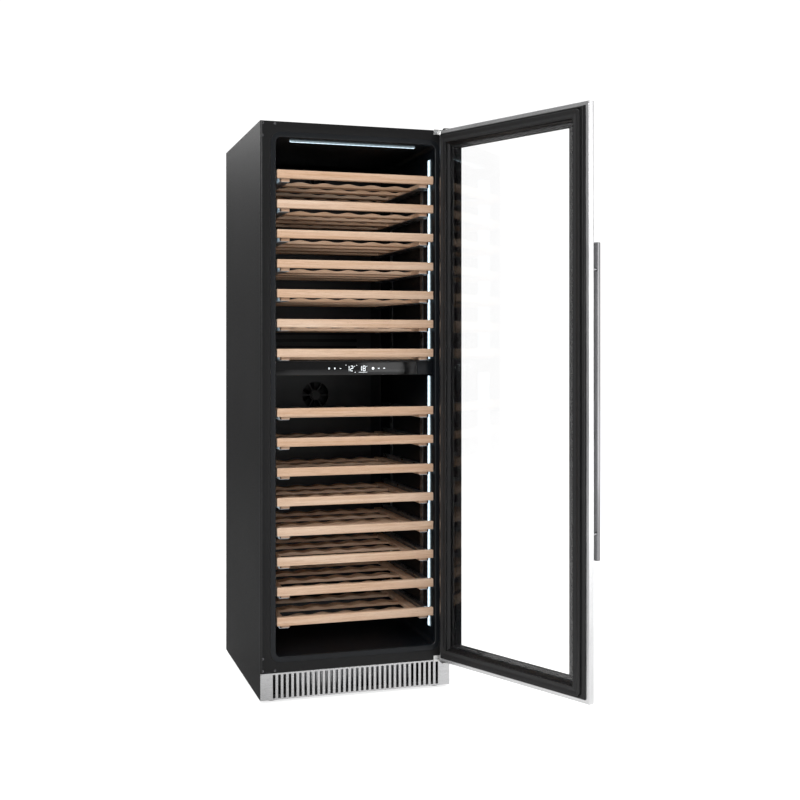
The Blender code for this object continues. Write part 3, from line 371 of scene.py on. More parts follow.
def spread(tree, factor, low, high):
    """The factor's middle range stretched to run from low to high."""
    return add(tree, "MapRange", {"Value": factor, "From Min": 0.3, "From Max": 0.7,
                                  "To Min": low, "To Max": high}).outputs["Result"]


def maths(tree, operation, *values):
    """A number worked out from sockets and plain numbers."""
    return add(tree, "Math", dict(enumerate(values)), operation=operation).outputs[0]


def relief(tree, shader, height, depth, strength=1.0):
    """Let a height of 0 to 1 stand depth millimetres off the surface."""
    bump = add(tree, "Bump", {"Height": height, "Distance": depth * MM, "Strength": strength})
    tree.links.new(bump.outputs["Normal"], shader.inputs["Normal"])


def drive(tree, shader, **sources):
    """Link sockets to the shader's inputs of the same names."""
    for name, socket in sources.items():
        tree.links.new(socket, shader.inputs[name.replace("_", " ")])


# ---------------------------------------------------------------- materials

def powder_coat(name, dark, light, roughness, sheen=0.25):
    """Powder-coated sheet steel: sprayed and baked, so a fine orange peel breaks up its satin sheen."""
    material, tree, shader = start(name, Specular_IOR_Level=sheen)
    peel = noise(tree, 3.0, 3.0)     # real peel is 1 to 2 mm, drawn coarser so that it shows
    cloud = noise(tree, 320.0, 2.0)
    drive(tree, shader, Base_Color=between(tree, cloud, dark, light),
          Roughness=spread(tree, peel, roughness - 0.05, roughness + 0.07))
    relief(tree, shader, peel, 0.05, 0.35)
    return material


def brushed_steel(name, sizes, source, dark="#bababb", light="#dededf", low=0.2, high=0.34):
    """Stainless steel ground with an abrasive belt: long fine lines that draw out its highlights.

    The grain runs along the axis whose size is large. Real lines are 0.1 mm apart, drawn at about 1 mm
    so that they show.
    """
    material, tree, shader = start(name, Metallic=1.0)
    line = noise(tree, sizes, 4.0, 0.6, source=source)
    cloud = noise(tree, 150.0, 2.0)
    both = add(tree, "Mix", {"Factor": 0.35, "A": line, "B": cloud}, data_type="FLOAT")
    drive(tree, shader, Base_Color=between(tree, both.outputs[0], dark, light),
          Roughness=spread(tree, line, low, high))
    relief(tree, shader, line, 0.02, 0.4)
    return material


def plated_steel(name, dark, light, cell):
    """Zinc-plated steel: bright, with soft crystal patches that take the light differently."""
    material, tree, shader = start(name, Metallic=1.0)
    patch = add(tree, "TexVoronoi", {"Vector": stretched(tree, cell), "Scale": 1.0},
                feature="SMOOTH_F1").outputs["Distance"]
    haze = noise(tree, 25.0, 3.0)
    both = add(tree, "Mix", {"Factor": 0.5, "A": patch, "B": haze}, data_type="FLOAT")
    drive(tree, shader, Base_Color=between(tree, both.outputs[0], dark, light),
          Roughness=spread(tree, haze, 0.25, 0.42))
    relief(tree, shader, patch, 0.02, 0.3)
    return material


def moulded_plastic(name, dark, light, roughness, grain=1.6, **values):
    """Moulded or vacuum-formed plastic: a fine leather grain from the mould, and a soft even sheen."""
    material, tree, shader = start(name, **values)
    pores = noise(tree, grain, 2.0)
    cloud = noise(tree, 180.0, 2.0)
    drive(tree, shader, Base_Color=between(tree, cloud, dark, light),
          Roughness=spread(tree, pores, roughness - 0.05, roughness + 0.08))
    relief(tree, shader, pores, 0.04, 0.3)
    return material


def extruded_plastic(name, dark, light, roughness):
    """Extruded PVC: faint die lines run along its length, across a satin face."""
    material, tree, shader = start(name, Specular_IOR_Level=0.35)
    die = noise(tree, (400.0, 1.1, 1.0), 3.0, source="UV")
    cloud = noise(tree, 120.0, 2.0)
    drive(tree, shader, Base_Color=between(tree, cloud, dark, light),
          Roughness=spread(tree, die, roughness - 0.07, roughness + 0.07))
    relief(tree, shader, die, 0.03, 0.4)
    return material


def beech(name, dark, light):
    """Planed steamed beech: pale pink-brown, with long soft growth bands and short dark ray flecks."""
    material, tree, shader = start(name, Specular_IOR_Level=0.35)
    bands = noise(tree, (300.0, 9.0, 7.0), 3.0, 0.55, 0.4)
    fibre = noise(tree, (40.0, 1.1, 1.1), 3.0, 0.6)
    fleck = noise(tree, (5.0, 1.0, 0.9), 1.0)
    lot = noise(tree, (900.0, 60.0, 60.0), 0.0)
    body = between(tree, bands, dark, light)
    lines = between(tree, fibre, "#cdb9a6", "#ffffff", 0.25, 0.6)
    flecks = between(tree, fleck, "#b08f78", "#ffffff", 0.2, 0.34)
    tone = between(tree, lot, "#efe0d2", "#ffffff", 0.35, 0.65)
    for layer in (lines, flecks, tone):
        body = add(tree, "Mix", {"Factor": 0.6, "A": body, "B": layer}, data_type="RGBA",
                   blend_type="MULTIPLY").outputs["Result"]
    drive(tree, shader, Base_Color=body, Roughness=spread(tree, fibre, 0.42, 0.58))
    relief(tree, shader, fibre, 0.06, 0.35)
    return material


def soft_rubber(name):
    """Extruded soft PVC gasket: matt, with a faint bloom and dust in random patches."""
    material, tree, shader = start(name)
    bloom = noise(tree, 14.0, 4.0, 0.6)
    draw = noise(tree, (250.0, 1.4, 1.0), 2.0, source="UV")
    drive(tree, shader, Base_Color=between(tree, bloom, "#0d0d0e", "#161617"),
          Roughness=spread(tree, draw, 0.5, 0.68))
    relief(tree, shader, draw, 0.05, 0.4)
    return material


def float_glass(name):
    """Clear float glass: flat and bright, with a very slight roller wave and faint handling marks."""
    material, tree, shader = start(name, Transmission_Weight=1.0, IOR=1.34, Specular_IOR_Level=0.2)
    shader.inputs["Base Color"].default_value = (1.0, 1.0, 1.0, 1.0)
    mark = noise(tree, (60.0, 60.0, 90.0), 3.0)
    wave = noise(tree, (900.0, 900.0, 260.0), 0.0)
    drive(tree, shader, Roughness=spread(tree, mark, 0.0, 0.012))
    relief(tree, shader, wave, 0.02, 0.2)
    return material


def touch_glass(name):
    """Back-printed black glass: a deep gloss from the glass over flat ink, with faint finger marks."""
    material, tree, shader = start(name, IOR=1.52, Specular_IOR_Level=0.4)
    smear = noise(tree, (22.0, 22.0, 14.0), 4.0, 0.6, 0.5)
    drive(tree, shader, Base_Color=between(tree, smear, "#030304", "#070708"),
          Roughness=spread(tree, smear, 0.05, 0.16))
    return material


def light_lens(name, node, pitch, axis, strength):
    """Frosted polycarbonate over a row of white LEDs: bright along its middle, softer at its edges.

    The LEDs show as spots a pitch apart along the axis, as a cosine of the place.
    """
    low, high = box_of(node)
    middle, reach = float(low[1] + high[1]) / 2, float(high[1] - low[1]) / 2
    material, tree, shader = start(name, Roughness=0.4)
    shader.inputs["Base Color"].default_value = (*linear("#9fb0b6"), 1.0)
    place = add(tree, "SeparateXYZ", {0: add(tree, "TexCoord").outputs["Object"]})
    turn = maths(tree, "MULTIPLY", place.outputs[axis], math.tau / (pitch * MM))
    spots = add(tree, "MapRange", {"Value": maths(tree, "COSINE", turn), "From Min": -1.0, "From Max": 1.0,
                                   "To Min": 0.85, "To Max": 1.15}).outputs["Result"]
    across = maths(tree, "ABSOLUTE", maths(tree, "SUBTRACT", place.outputs["Y"], middle))
    ridge = add(tree, "MapRange", {"Value": across, "From Min": reach * 0.25, "From Max": reach * 0.85,
                                   "To Min": strength, "To Max": strength * 0.08},
                interpolation_type="SMOOTHSTEP").outputs["Result"]
    tone = between(tree, noise(tree, 90.0), "#cdeafa", "#e0f3fd")
    drive(tree, shader, Emission_Color=tone, Emission_Strength=maths(tree, "MULTIPLY", spots, ridge))
    return material


def rigid_foam(name):
    """Foamed-in-place polyurethane: matt, buff, with small burst cells."""
    material, tree, shader = start(name, Roughness=0.95)
    cells = add(tree, "TexVoronoi", {"Vector": stretched(tree, 4.0), "Scale": 1.0}).outputs["Distance"]
    drive(tree, shader, Base_Color=between(tree, cells, "#b29a5e", "#dcc98f", 0.1, 0.6))
    relief(tree, shader, cells, 0.6, 0.6)
    return material


def lit_symbol(name):
    """White LED symbols behind the touch glass: a cool even glow whose tint varies a little at random."""
    material, tree, shader = start(name, Roughness=0.3, Emission_Strength=1.6)
    haze = noise(tree, 3.0)
    drive(tree, shader, Emission_Color=between(tree, haze, "#d9e6ea", "#ffffff"),
          Base_Color=between(tree, haze, "#c4ccd0", "#e4eaec"))
    return material


MATERIALS = {}
LED_PITCH = 16.0      # millimetres


def make_materials(colours):
    """Make every material of the cooler from the chosen colours."""
    strength = colours.light_strength
    MATERIALS.update({
        # painted and enamelled steel: near black, with a sheen that only glancing light brings out
        "side": powder_coat("powder_coated_steel_side", "#151516", "#1b1b1c", 0.5, 0.05),
        "front": powder_coat("powder_coated_steel_front", "#0d0d0e", "#131314", 0.44),
        # the hems are the side panels' own sheet: their paint is a lighter copy of the side paint, a painted
        # highlight along the front edges, and glossier so that it catches the light too
        "hem": powder_coat("powder_coated_steel_hem_painted_highlight", "#1a1a1b", "#222223", 0.3, 0.6),
        "compressor": powder_coat("black_enamelled_steel", "#0f0f10", "#161617", 0.3),
        # plastics: a soft dark sheen over a fine grain
        "liner": moulded_plastic("vacuum_formed_polystyrene", "#090c10", "#0e1217", 0.36,
                                 Specular_IOR_Level=0.3),
        "duct": moulded_plastic("moulded_abs_duct", "#14181c", "#1c2126", 0.42),
        "black_plastic": moulded_plastic("moulded_polypropylene", "#131314", "#1c1c1d", 0.45),
        "enamel": moulded_plastic("fired_black_enamel", "#050506", "#0a0a0b", 0.3, 2.5),
        "door_plastic": extruded_plastic("extruded_pvc_frame", "#0e0e0f", "#151516", 0.34),
        "gasket": soft_rubber("soft_pvc_gasket"),
        # plated steel: grey patches on the dipped back, finer and brighter ones on runners and screws
        "galvanised": plated_steel("hot_dip_galvanised_steel", "#8d9194", "#b3b7ba", 14.0),
        "zinc": plated_steel("zinc_plated_steel", "#a9adb1", "#cfd3d6", 6.0),
        "screw": plated_steel("black_zinc_screws", "#57575a", "#7a7a7d", 3.0),
        # brushed metals: the grain runs along each sheet, upright on the handle and grille
        "bracket": brushed_steel("nickel_plated_steel", (30.0, 1.0, 1.0), "Object",
                                 "#b5b5b4", "#dededc", 0.2, 0.32),
        "aluminium": brushed_steel("drawn_aluminium", (60.0, 1.2, 1.2), "Object",
                                   "#a8aaac", "#c9cbcd", 0.3, 0.45),
        "trim": brushed_steel("brushed_stainless_trim", (90.0, 0.7, 1.0), "UV", "#c4c4c5", "#e6e6e7"),
        "grille": brushed_steel("brushed_stainless_grille", (70.0, 70.0, 0.7), "Object",
                                "#b6b6b7", "#d2d2d3"),
        "handle": brushed_steel("brushed_stainless_handle", (0.8, 0.8, 90.0), "Object",
                                "#7c7c7e", "#929294", 0.16, 0.28),
        "beech": beech("planed_beech", colours.wood_dark, colours.wood_light),
        "clear_glass": float_glass("clear_float_glass"),
        "touch_glass": touch_glass("black_printed_glass"),
        "lens_upright": light_lens("frosted_lens_upright", "upper_light_right", LED_PITCH, 2, strength),
        "lens_level": light_lens("frosted_lens_level", "ceiling_light", LED_PITCH, 0, strength),
        "symbols": lit_symbol("lit_symbols"),
        "foam": rigid_foam("rigid_polyurethane_foam"),
    })


# Which material each CAD node that stays visible gets
CARRIED = {
    "side": ("left_side_panel", "right_side_panel", "top_panel"),
    "galvanised": ("back_panel",),
    "foam": ("insulation_foam",),
    "liner": ("zone_divider",),
    "duct": ("upper_air_duct", "lower_air_duct"),
    "aluminium": ("upper_evaporator", "lower_evaporator", "condenser"),
    "compressor": ("compressor", "base_pan"),
    "black_plastic": ("condenser_fan_shroud", "power_inlet", "condenser_fan", "upper_fan", "lower_fan",
                      "foot_front_left", "foot_front_right", "foot_rear_left", "foot_rear_right"),
    "bracket": ("top_hinge_bracket", "bottom_hinge_bracket"),
    "zinc": ("upper_slides_left", "upper_slides_right", "lower_slides_left", "lower_slides_right"),
    "clear_glass": ("outer_glass", "inner_glass"),
}


# ---------------------------------------------------------------- sizes a user would change

def length(name, description, millimetres):
    """A length property with its default in millimetres."""
    return FloatProperty(name=name, description=description, default=millimetres * MM, unit="LENGTH")


class CoolerColours(bpy.types.PropertyGroup):
    """Colours and light."""
    wood_dark: FloatVectorProperty(name="Wood, dark", description="Darker bands of the shelves' beech",
                                   subtype="COLOR", default=linear("#dcb99b"), min=0.0, max=1.0)
    wood_light: FloatVectorProperty(name="Wood, light", description="Paler bands of the shelves' beech",
                                    subtype="COLOR", default=linear("#eed4bd"), min=0.0, max=1.0)
    light_strength: FloatProperty(name="Cavity light", description="Strength of the light strips",
                                  default=2.2, min=0.0, soft_max=20.0)


class CoolerSizes(bpy.types.PropertyGroup):
    """Sizes of the fine shapes that the frame leaves plain."""
    bottles_per_row: IntProperty(name="Bottles per row", description="Cradles across each shelf",
                                 default=6, min=1)
    slats: IntProperty(name="Slats", description="Slats of each shelf", default=4, min=1)
    board_round: length("Board rounding", "Radius of the front boards' edges", 1.8)
    cradle_depth: length("Cradle depth", "How far a cradle dips into its slat", 5.0)
    slat_width: length("Slat width", "Width of a slat, front to back", 45.0)
    rail_width: length("Rail width", "Width of a deck's side rails", 26.0)
    trim_fold: length("Trim fold", "Radius of the door trim's folds", 0.9)
    mitre_gap: length("Mitre gap", "Hairline between the trim's mitred ends", 0.25)
    slot_pitch: length("Slot pitch", "From one grille slot to the next", 16.0)
    slot_width: length("Slot width", "Width of a grille slot", 8.2)
    digit_height: length("Digit height", "Height of the temperature digits", 15.0)


def sizes():
    """The scene's cooler sizes."""
    return bpy.context.scene.cooler_sizes


# ---------------------------------------------------------------- shapes of the cooler

DECK_DROP = 22 * MM
DECK_THICKNESS = 12 * MM
RUNNER_SHEET = 1.5 * MM
RUNNER_WEB = 5 * MM
RUNNER_FLANGE = 30 * MM
BOARD_THICKNESS = 18 * MM
BOARD_HEIGHT = 25 * MM
RUNNER_HEIGHT = 25 * MM
RUNNER_LIP = 4 * MM
SCREW_HEAD = 3.6 * MM         # radius
BACK_SCREW_HEAD = 3.8 * MM
GRILLE_BORDER = 5 * MM        # plain sheet above and below the slots
GRILLE_END = 36 * MM          # plain sheet left at each end
PANEL_END = 51 * MM           # plain block to the right of the touch glass


def slat(low, high, dip, count, pitch):
    """A slat whose top dips into cradles: each section point's height above the slat's underside is
    multiplied by 1 - dip * (1 + cos(2 pi x / pitch)) / 2 over its thickness.
    """
    columns = 12 * count + 1
    section = rounded_loop((high[1] - low[1]) / 2, (high[2] - low[2]) / 2, 1.5 * MM, 2)[0]
    x = np.linspace(low[0], high[0], columns)
    phase = x / pitch * math.tau + (0 if count % 2 else math.pi)
    thickness = high[2] - low[2]
    wave = 1 - dip / thickness * (1 + np.cos(phase)) / 2
    points = np.zeros((columns, len(section), 3))
    points[..., 0] = x[:, None]
    points[..., 1] = (low[1] + high[1]) / 2 + section[:, 0]
    points[..., 2] = low[2] + (section[:, 1] + thickness / 2) * wave[:, None]
    uv = np.stack(np.broadcast_arrays(x[:, None], distance_along(section)[None, :]), -1)
    return grid(points, uv, True)


def make_deck(node, front, back, low, high, half):
    """A shelf's deck: two side rails, and slats between them that dip into cradles."""
    size = sizes()
    rail_inner = half - size.rail_width
    start_y = front + BOARD_THICKNESS + SKIN
    shapes = []
    for side in (-1, 1):
        x = sorted((side * rail_inner, side * half))
        shapes.append(rounded_bar((x[0], start_y, low), (x[1], back, high), 1, 1.2 * MM, 2))
    bay = (back - front - BOARD_THICKNESS - size.slats * size.slat_width) / size.slats
    for i in range(size.slats):
        y = front + BOARD_THICKNESS + bay + i * (bay + size.slat_width)
        corner = (rail_inner - SKIN, y + size.slat_width - SKIN, high)
        shapes.append(slat((SKIN - rail_inner, y, low), corner, size.cradle_depth, size.bottles_per_row,
                           2 * half / size.bottles_per_row))
    piece(node + "_deck", merged(shapes), node, MATERIALS["beech"])


def make_runners(node, outer, start_y, back, deck_low):
    """A shelf's steel runners: on each side a flange under the deck, a web up it and a lip turned in."""
    web = outer - RUNNER_SHEET / 2
    inner = outer - RUNNER_WEB + RUNNER_SHEET / 2
    base = deck_low - RUNNER_SHEET / 2
    rim = base + RUNNER_HEIGHT - RUNNER_SHEET
    corners = [(outer - RUNNER_FLANGE, base), (web, base), (web, rim), (inner, rim),
               (inner, rim - RUNNER_LIP)]
    faces = folded_sheet(corners, 1.2 * MM, RUNNER_SHEET * 0.8)
    starts, ends = (tuple(np.full(len(face), y) for face in faces) for y in (start_y, back))
    shapes = [extruded_sheet(faces, starts, ends, lambda a, b, y, side=side: np.stack([side * a, y, b], -1))
              for side in (-1, 1)]
    piece(node + "_runners", merged(shapes), node, MATERIALS["zinc"])


def make_shelf(node):
    """One sliding shelf: front board, slatted deck with cradles, and two steel runners."""
    low, high = box_of(node)
    top, front, back = high[2], low[1], high[1]
    board = rounded_bar((low[0], front, top - BOARD_HEIGHT), (high[0], front + BOARD_THICKNESS, top),
                        0, sizes().board_round)
    piece(node + "_board", board, node, MATERIALS["beech"], (node,))
    deck_top = top - DECK_DROP
    deck_low = deck_top - DECK_THICKNESS
    outer = box_of("upper_slides_right")[0][0] - MM
    make_deck(node, front, back, deck_low, deck_top, outer - RUNNER_WEB - MM)
    make_runners(node, outer, front + BOARD_THICKNESS + SKIN, back, deck_low)


def screw_heads(places, axis, radius):
    """Countersunk screw heads with a round driver recess: a shallow dome turned about the axis."""
    profile = [(-0.9 * MM, 0.0), (-0.9 * MM, radius * 0.32), (0.2 * MM, radius * 0.42),
               (0.3 * MM, radius * 0.8), (0.0, radius), (-1.2 * MM, radius * 0.96), (-1.2 * MM, 0.0)]
    return merged([turned(profile, place, axis, 16) for place in places])


def make_cabinet_front():
    """Front frame round the mouth: a steel ring with rolled edges, and screws near its corners.

    A ring's point is share of the way from the frame's outer edge to the mouth's edge.
    """
    low, high = box_of("front_frame")
    mouth_low, mouth_high = box_of("inner_liner")
    half = (high - low) / 2
    middle = (high + low) / 2
    gap, roll = 0.5 * MM, 1.2 * MM         # round the liner's lip; radius of the ring's edges
    corner, corner_growth = 1.0 * MM, 31.0 * MM
    hole_half = (mouth_high[0] - mouth_low[0]) / 2 + gap
    hole_low, hole_high = mouth_low[2] - gap, mouth_high[2] + gap
    face, back = low[1], high[1]
    turn = np.linspace(0, math.pi / 2, 4)
    width = half[0] - hole_half
    outer_edge = roll * (1 - np.sin(turn)) / width
    outer_depth = face + roll * (1 - np.cos(turn))
    share = np.concatenate([[0.0], outer_edge[::-1], 1 - outer_edge, [1.0, 0.0]])
    depth = np.concatenate([[back], outer_depth[::-1], outer_depth, [back, back]])
    hole_middle = (hole_low + hole_high) / 2
    half_a = half[0] + share * (hole_half - half[0])
    half_b = half[2] + share * ((hole_high - hole_low) / 2 - half[2])
    loops = rounded_loop(half_a, half_b, corner + share * corner_growth, 8)
    loops[..., 1] += (share * (hole_middle - middle[2]))[:, None]
    piece("front_frame_ring", ring(loops, depth, middle), "cabinet", MATERIALS["front"],
          ("front_frame",))
    near, far = 7 * MM, 44 * MM            # places of a corner's screws from the ring's outer edges
    corners = [(low[0] + a, sign * b) for sign in (-1, 1)
               for a, b in ((near, near), (far, near), (near, far))]
    places = [(x, face, (high[2] - b) if b > 0 else (low[2] - b)) for x, b in corners]
    piece("front_frame_screws", screw_heads(places, (0, -1, 0), SCREW_HEAD), "cabinet",
          MATERIALS["screw"])
    make_hems(low, high)


def make_hems(low, high):
    """Rolled front edges of the side panels: a quarter-round bead up each side of the front frame."""
    reach, proud = 5.5 * MM, 0.5 * MM
    turn = np.linspace(0, math.pi / 2, 7)
    across = high[0] - reach + (reach + 0.3 * MM) * np.sin(turn)
    depth = low[1] - proud + (reach + proud) * (1 - np.cos(turn))
    line = np.concatenate([[[across[0], low[1]]], np.stack([across, depth], -1),
                           [[across[-1] - MM, depth[-1]]]])
    line = np.concatenate([line, line[:1]])
    shapes = []
    for side in (-1, 1):
        points = np.zeros((2, len(line), 3))
        points[..., 0] = side * line[:, 0]
        points[..., 1] = line[:, 1]
        points[..., 2] = np.array([[low[2]], [high[2]]])
        shapes.append(grid(points, points[..., [2, 0]], True))
    # the bead's paint is a lighter copy of the side panels': a painted highlight line up each front edge
    piece("side_panel_hems", merged(shapes), "cabinet", MATERIALS["hem"])


def make_liner():
    """Liner: a tub whose section is a rounded rectangle carried from its lip to its back.

    Its width and height grow by grow(y) and its floor is floor(y), which steps up over the compressor.
    """
    low, high = box_of("inner_liner")
    slides_high = box_of("upper_light_right")[1]
    half = slides_high[0] + 0.3 * MM
    lip = high[0] - half
    floor, ceiling = low[2] + lip, high[2] - lip
    face = low[1]
    duct_low, duct_high = box_of("lower_air_duct")
    back = duct_high[1] + 0.3 * MM
    step_top = duct_low[2] - 12 * MM
    step_front = back - 185 * MM
    roll, corner = 4 * MM, 15.5 * MM
    nick, step_round, back_round = 0.6 * MM, 4 * MM, 6 * MM
    lap, hem = 0.4 * MM, 1.3 * MM      # the lip's reach over the frame's mouth, and its edge's depth
    turn = np.linspace(0, math.pi / 2, 6)
    # rings from the lip's outer edge to the back: growth, y and floor height
    edge = lip + lap
    rings = [(edge, face + hem, floor), (edge, face + 0.3 * MM, floor), (edge - lap, face, floor),
             (roll, face, floor)]
    rings += [(roll * (1 - math.sin(t)), face + roll * (1 - math.cos(t)), floor) for t in turn[1:]]
    rings += [(0.0, step_front - step_round, floor), (0.0, step_front - nick, floor + nick),
              (0.0, step_front, floor + step_round), (0.0, step_front, step_top - step_round),
              (0.0, step_front + nick, step_top - nick), (0.0, step_front + step_round, step_top)]
    rings += [(-back_round * (1 - math.cos(t)), back - back_round * (1 - math.sin(t)), step_top)
              for t in turn]
    grow, depth, base = (np.array(v) for v in zip(*rings))
    half_b = (ceiling - base) / 2 + grow
    loops = rounded_loop(half + grow, half_b, corner + grow, 8)
    loops[..., 1] += ((ceiling + base) / 2)[:, None]
    points, uv, faces = ring(loops, depth, np.zeros(3))
    last = np.arange(len(points) - loops.shape[1], len(points) - 1)[None, :]
    liner = piece("liner_tub", (points, uv, faces + [last]), "cabinet", MATERIALS["liner"],
                  ("inner_liner",))
    wall = liner.modifiers.new("wall", "SOLIDIFY")
    wall.thickness = 1.2 * MM
    wall.offset = -1.0               # keeps the wall clear of the gasket on the shut door


def make_light(node, axis, material):
    """A light strip: a rounded lens bar."""
    low, high = box_of(node)
    piece(node + "_lens", rounded_bar(low, high, axis, 1.2 * MM, 3), "cabinet", material,
          (node,))


def make_grille():
    """Kick grille: a sheet with upright slots, its top and bottom edges rolled back.

    Round each slot, a point goes from the slot's rounded outline to its cell's edge in straight steps.
    """
    size = sizes()
    low, high = box_of("kick_grille")
    face, roll = low[1], high[1] - low[1]
    middle_z, half_z = (low[2] + high[2]) / 2, (high[2] - low[2]) / 2
    count = int((high[0] - GRILLE_END) / size.slot_pitch)
    reach = half_z - 1.0 * MM
    slot_half = np.array([size.slot_width / 2, half_z - GRILLE_BORDER])
    slot = rounded_loop(*slot_half, 1.2 * MM, 3)[0]
    on_edge = np.abs(slot) / slot_half >= 0.999
    cell = np.where(on_edge, np.sign(slot), slot / slot_half) * [size.slot_pitch / 2, reach]
    share = np.linspace(0, 1, 3)[:, None, None]
    outline = slot * (1 - share) + cell * share
    shapes = []
    for i in range(-count, count + 1):
        points = np.stack(np.broadcast_arrays(outline[..., 0] + i * size.slot_pitch, face,
                                              outline[..., 1] + middle_z), -1)
        shapes.append(grid(points, points[..., [0, 2]]))
    end = (count + 0.5) * size.slot_pitch
    turn = np.linspace(0, math.pi / 2, 5)
    strips = [(x, face, middle_z + np.array([-reach, reach])) for x in ((low[0], -end), (end, high[0]))]
    strips += [((low[0], high[0]), face + roll * (1 - np.cos(turn)),
                middle_z + sign * (reach + (roll - 0.5 * MM) * np.sin(turn))) for sign in (-1, 1)]
    for x, y, z in strips:
        points = np.stack(np.broadcast_arrays(np.array(x)[:, None], y, z), -1)
        shapes.append(grid(points, points[..., [0, 2]]))
    piece("kick_grille_sheet", merged(shapes), "cabinet", MATERIALS["grille"],
          ("kick_grille",))


# Seven segments of a digit: ends as (a, b) in shares of its width and height
SEGMENTS = {"a": ((0, 2), (1, 2)), "b": ((1, 2), (1, 1)), "c": ((1, 1), (1, 0)), "d": ((0, 0), (1, 0)),
            "e": ((0, 1), (0, 0)), "f": ((0, 2), (0, 1)), "g": ((0, 1), (1, 1))}
DIGITS = {"1": "bc", "2": "abged", "8": "abcdefg"}


def stroke(start_point, end_point, width, depth):
    """A flat stroke between two points on the panel, its ends cut to a point, as a thin closed plate."""
    start_point, end_point = np.array(start_point, float), np.array(end_point, float)
    along = (end_point - start_point) / np.linalg.norm(end_point - start_point)
    across = np.array([-along[1], along[0]]) * width / 2
    a, b = start_point + along * width * 0.6, end_point - along * width * 0.6
    outline = np.array([start_point + along * width * 0.1, a - across, b - across,
                        end_point - along * width * 0.1, b + across, a + across])
    outline = np.concatenate([outline, outline[:1]])
    rows = np.array([depth, depth + 0.08 * MM])
    points = np.stack([np.broadcast_to(outline[:, 0], (2, 7)), np.broadcast_to(rows[:, None], (2, 7)),
                       np.broadcast_to(outline[:, 1], (2, 7))], -1)
    return grid(points, points[..., [0, 2]], True)


def disc(x, z, radius, depth, hole=0.0, sides=20):
    """A thin flat disc or ring on the panel."""
    profile = [(0.0, hole), (0.0, radius), (0.08 * MM, radius), (0.08 * MM, hole)]
    if hole:
        profile.append(profile[0])
    return turned(profile, (x, depth + 0.08 * MM, z), (0, -1, 0), sides)


def panel_digits(middle, height, depth):
    """Two lit temperatures, their degree rings, the line under the right one and their dots."""
    width, line = height * 0.46, height * 0.09
    shapes = []
    for x, digit in ((-27, "1"), (-15, "2"), (12, "1"), (24, "8")):
        for segment in DIGITS[digit]:
            ends = [(x * MM + a * width, middle + (b - 1) * height / 2) for a, b in SEGMENTS[segment]]
            shapes.append(stroke(*ends, line, depth))
    shapes += [disc(x * MM, middle + height * 0.42, 1.2 * MM, depth, 0.6 * MM, 14) for x in (-3, 36)]
    under = middle - height * 0.78
    shapes.append(stroke((10 * MM, under), (38 * MM, under), 0.7 * MM, depth))
    # dots: place, share of the height above the middle, and radius
    for x, up, radius in ((-30, 0.68, 0.9), (4, 0.62, 0.9), (-1, -0.8, 1.1)):
        shapes.append(disc(x * MM, middle + height * up, radius * MM, depth, 0.0, 12))
    return shapes


def panel_symbols(middle, depth):
    """Generic symbols: standby ring, bulb and bar on the left, light and two arrows on the right."""
    shapes = [disc(-83 * MM, middle, 2.6 * MM, depth, 1.8 * MM, 20),
              disc(-65 * MM, middle + 0.8 * MM, 2.0 * MM, depth, 0.0, 16),
              disc(56 * MM, middle, 3.6 * MM, depth, 0.0, 24)]
    # strokes: both ends and the width, in millimetres from the panel's middle height
    strokes = [((-83, 0), (-83, 3.6), 0.7), ((-65, -3.4), (-65, -0.8), 1.6), ((-50, 0), (-44, 0), 0.9)]
    for x, sign in ((74, -1), (91.5, 1)):
        strokes += [((x, sign * 1.8), (x + side * 2.8, -sign * 1.6), 1.5) for side in (-1, 1)]
    for first, last, width in strokes:
        ends = [(x * MM, middle + z * MM) for x, z in (first, last)]
        shapes.append(stroke(*ends, width * MM, depth))
    return shapes


def make_control_panel():
    """Touch panel: black glass with polished edges, two lit temperatures and generic symbols."""
    low, high = box_of("control_panel")
    end, top = high[0] - PANEL_END, high[2] - 3.2 * MM
    piece("control_glass", rounded_bar(low, (end, high[1], top), 0, 1.0 * MM, 3), "cabinet",
          MATERIALS["touch_glass"], ("control_panel",))
    inset = 2.5 * MM
    block = rounded_bar((end + MM, low[1] + 0.8 * MM, low[2] + inset), (high[0], high[1], high[2] - inset),
                        0, 1.0 * MM, 2)
    piece("control_end_block", block, "cabinet", MATERIALS["liner"])
    depth, middle = low[1] - 0.1 * MM, (low[2] + top) / 2
    shapes = panel_digits(middle, sizes().digit_height, depth) + panel_symbols(middle, depth)
    piece("control_symbols", merged(shapes), "cabinet", MATERIALS["symbols"])


def make_trim():
    """Stainless door trim: four folded channels, mitred at the corners."""
    size = sizes()
    low, high = shut_box("door_trim")
    sheet, face_width, ledge = 1.0 * MM, 60 * MM, 16 * MM
    near, far = low[1] + sheet / 2, high[1] - sheet / 2
    corners = [(face_width, near), (sheet / 2, near), (sheet / 2, far), (ledge, far)]
    faces = folded_sheet(corners, size.trim_fold, sheet)
    places = {
        "top": lambda a, b, t: np.stack([t, b, high[2] - a], -1),
        "bottom": lambda a, b, t: np.stack([t, b, low[2] + a], -1),
        "free": lambda a, b, t: np.stack([low[0] + a, b, t], -1),
        "hinge": lambda a, b, t: np.stack([high[0] - a, b, t], -1),
    }
    for name, place in places.items():
        axis = 0 if name in ("top", "bottom") else 2
        inset = [face[:, 0] + size.mitre_gap / 2 for face in faces]
        starts = tuple(low[axis] + v for v in inset)
        ends = tuple(high[axis] - v for v in inset)
        door_piece("door_trim_" + name, extruded_sheet(faces, starts, ends, place),
                   MATERIALS["trim"], ("door_trim",))


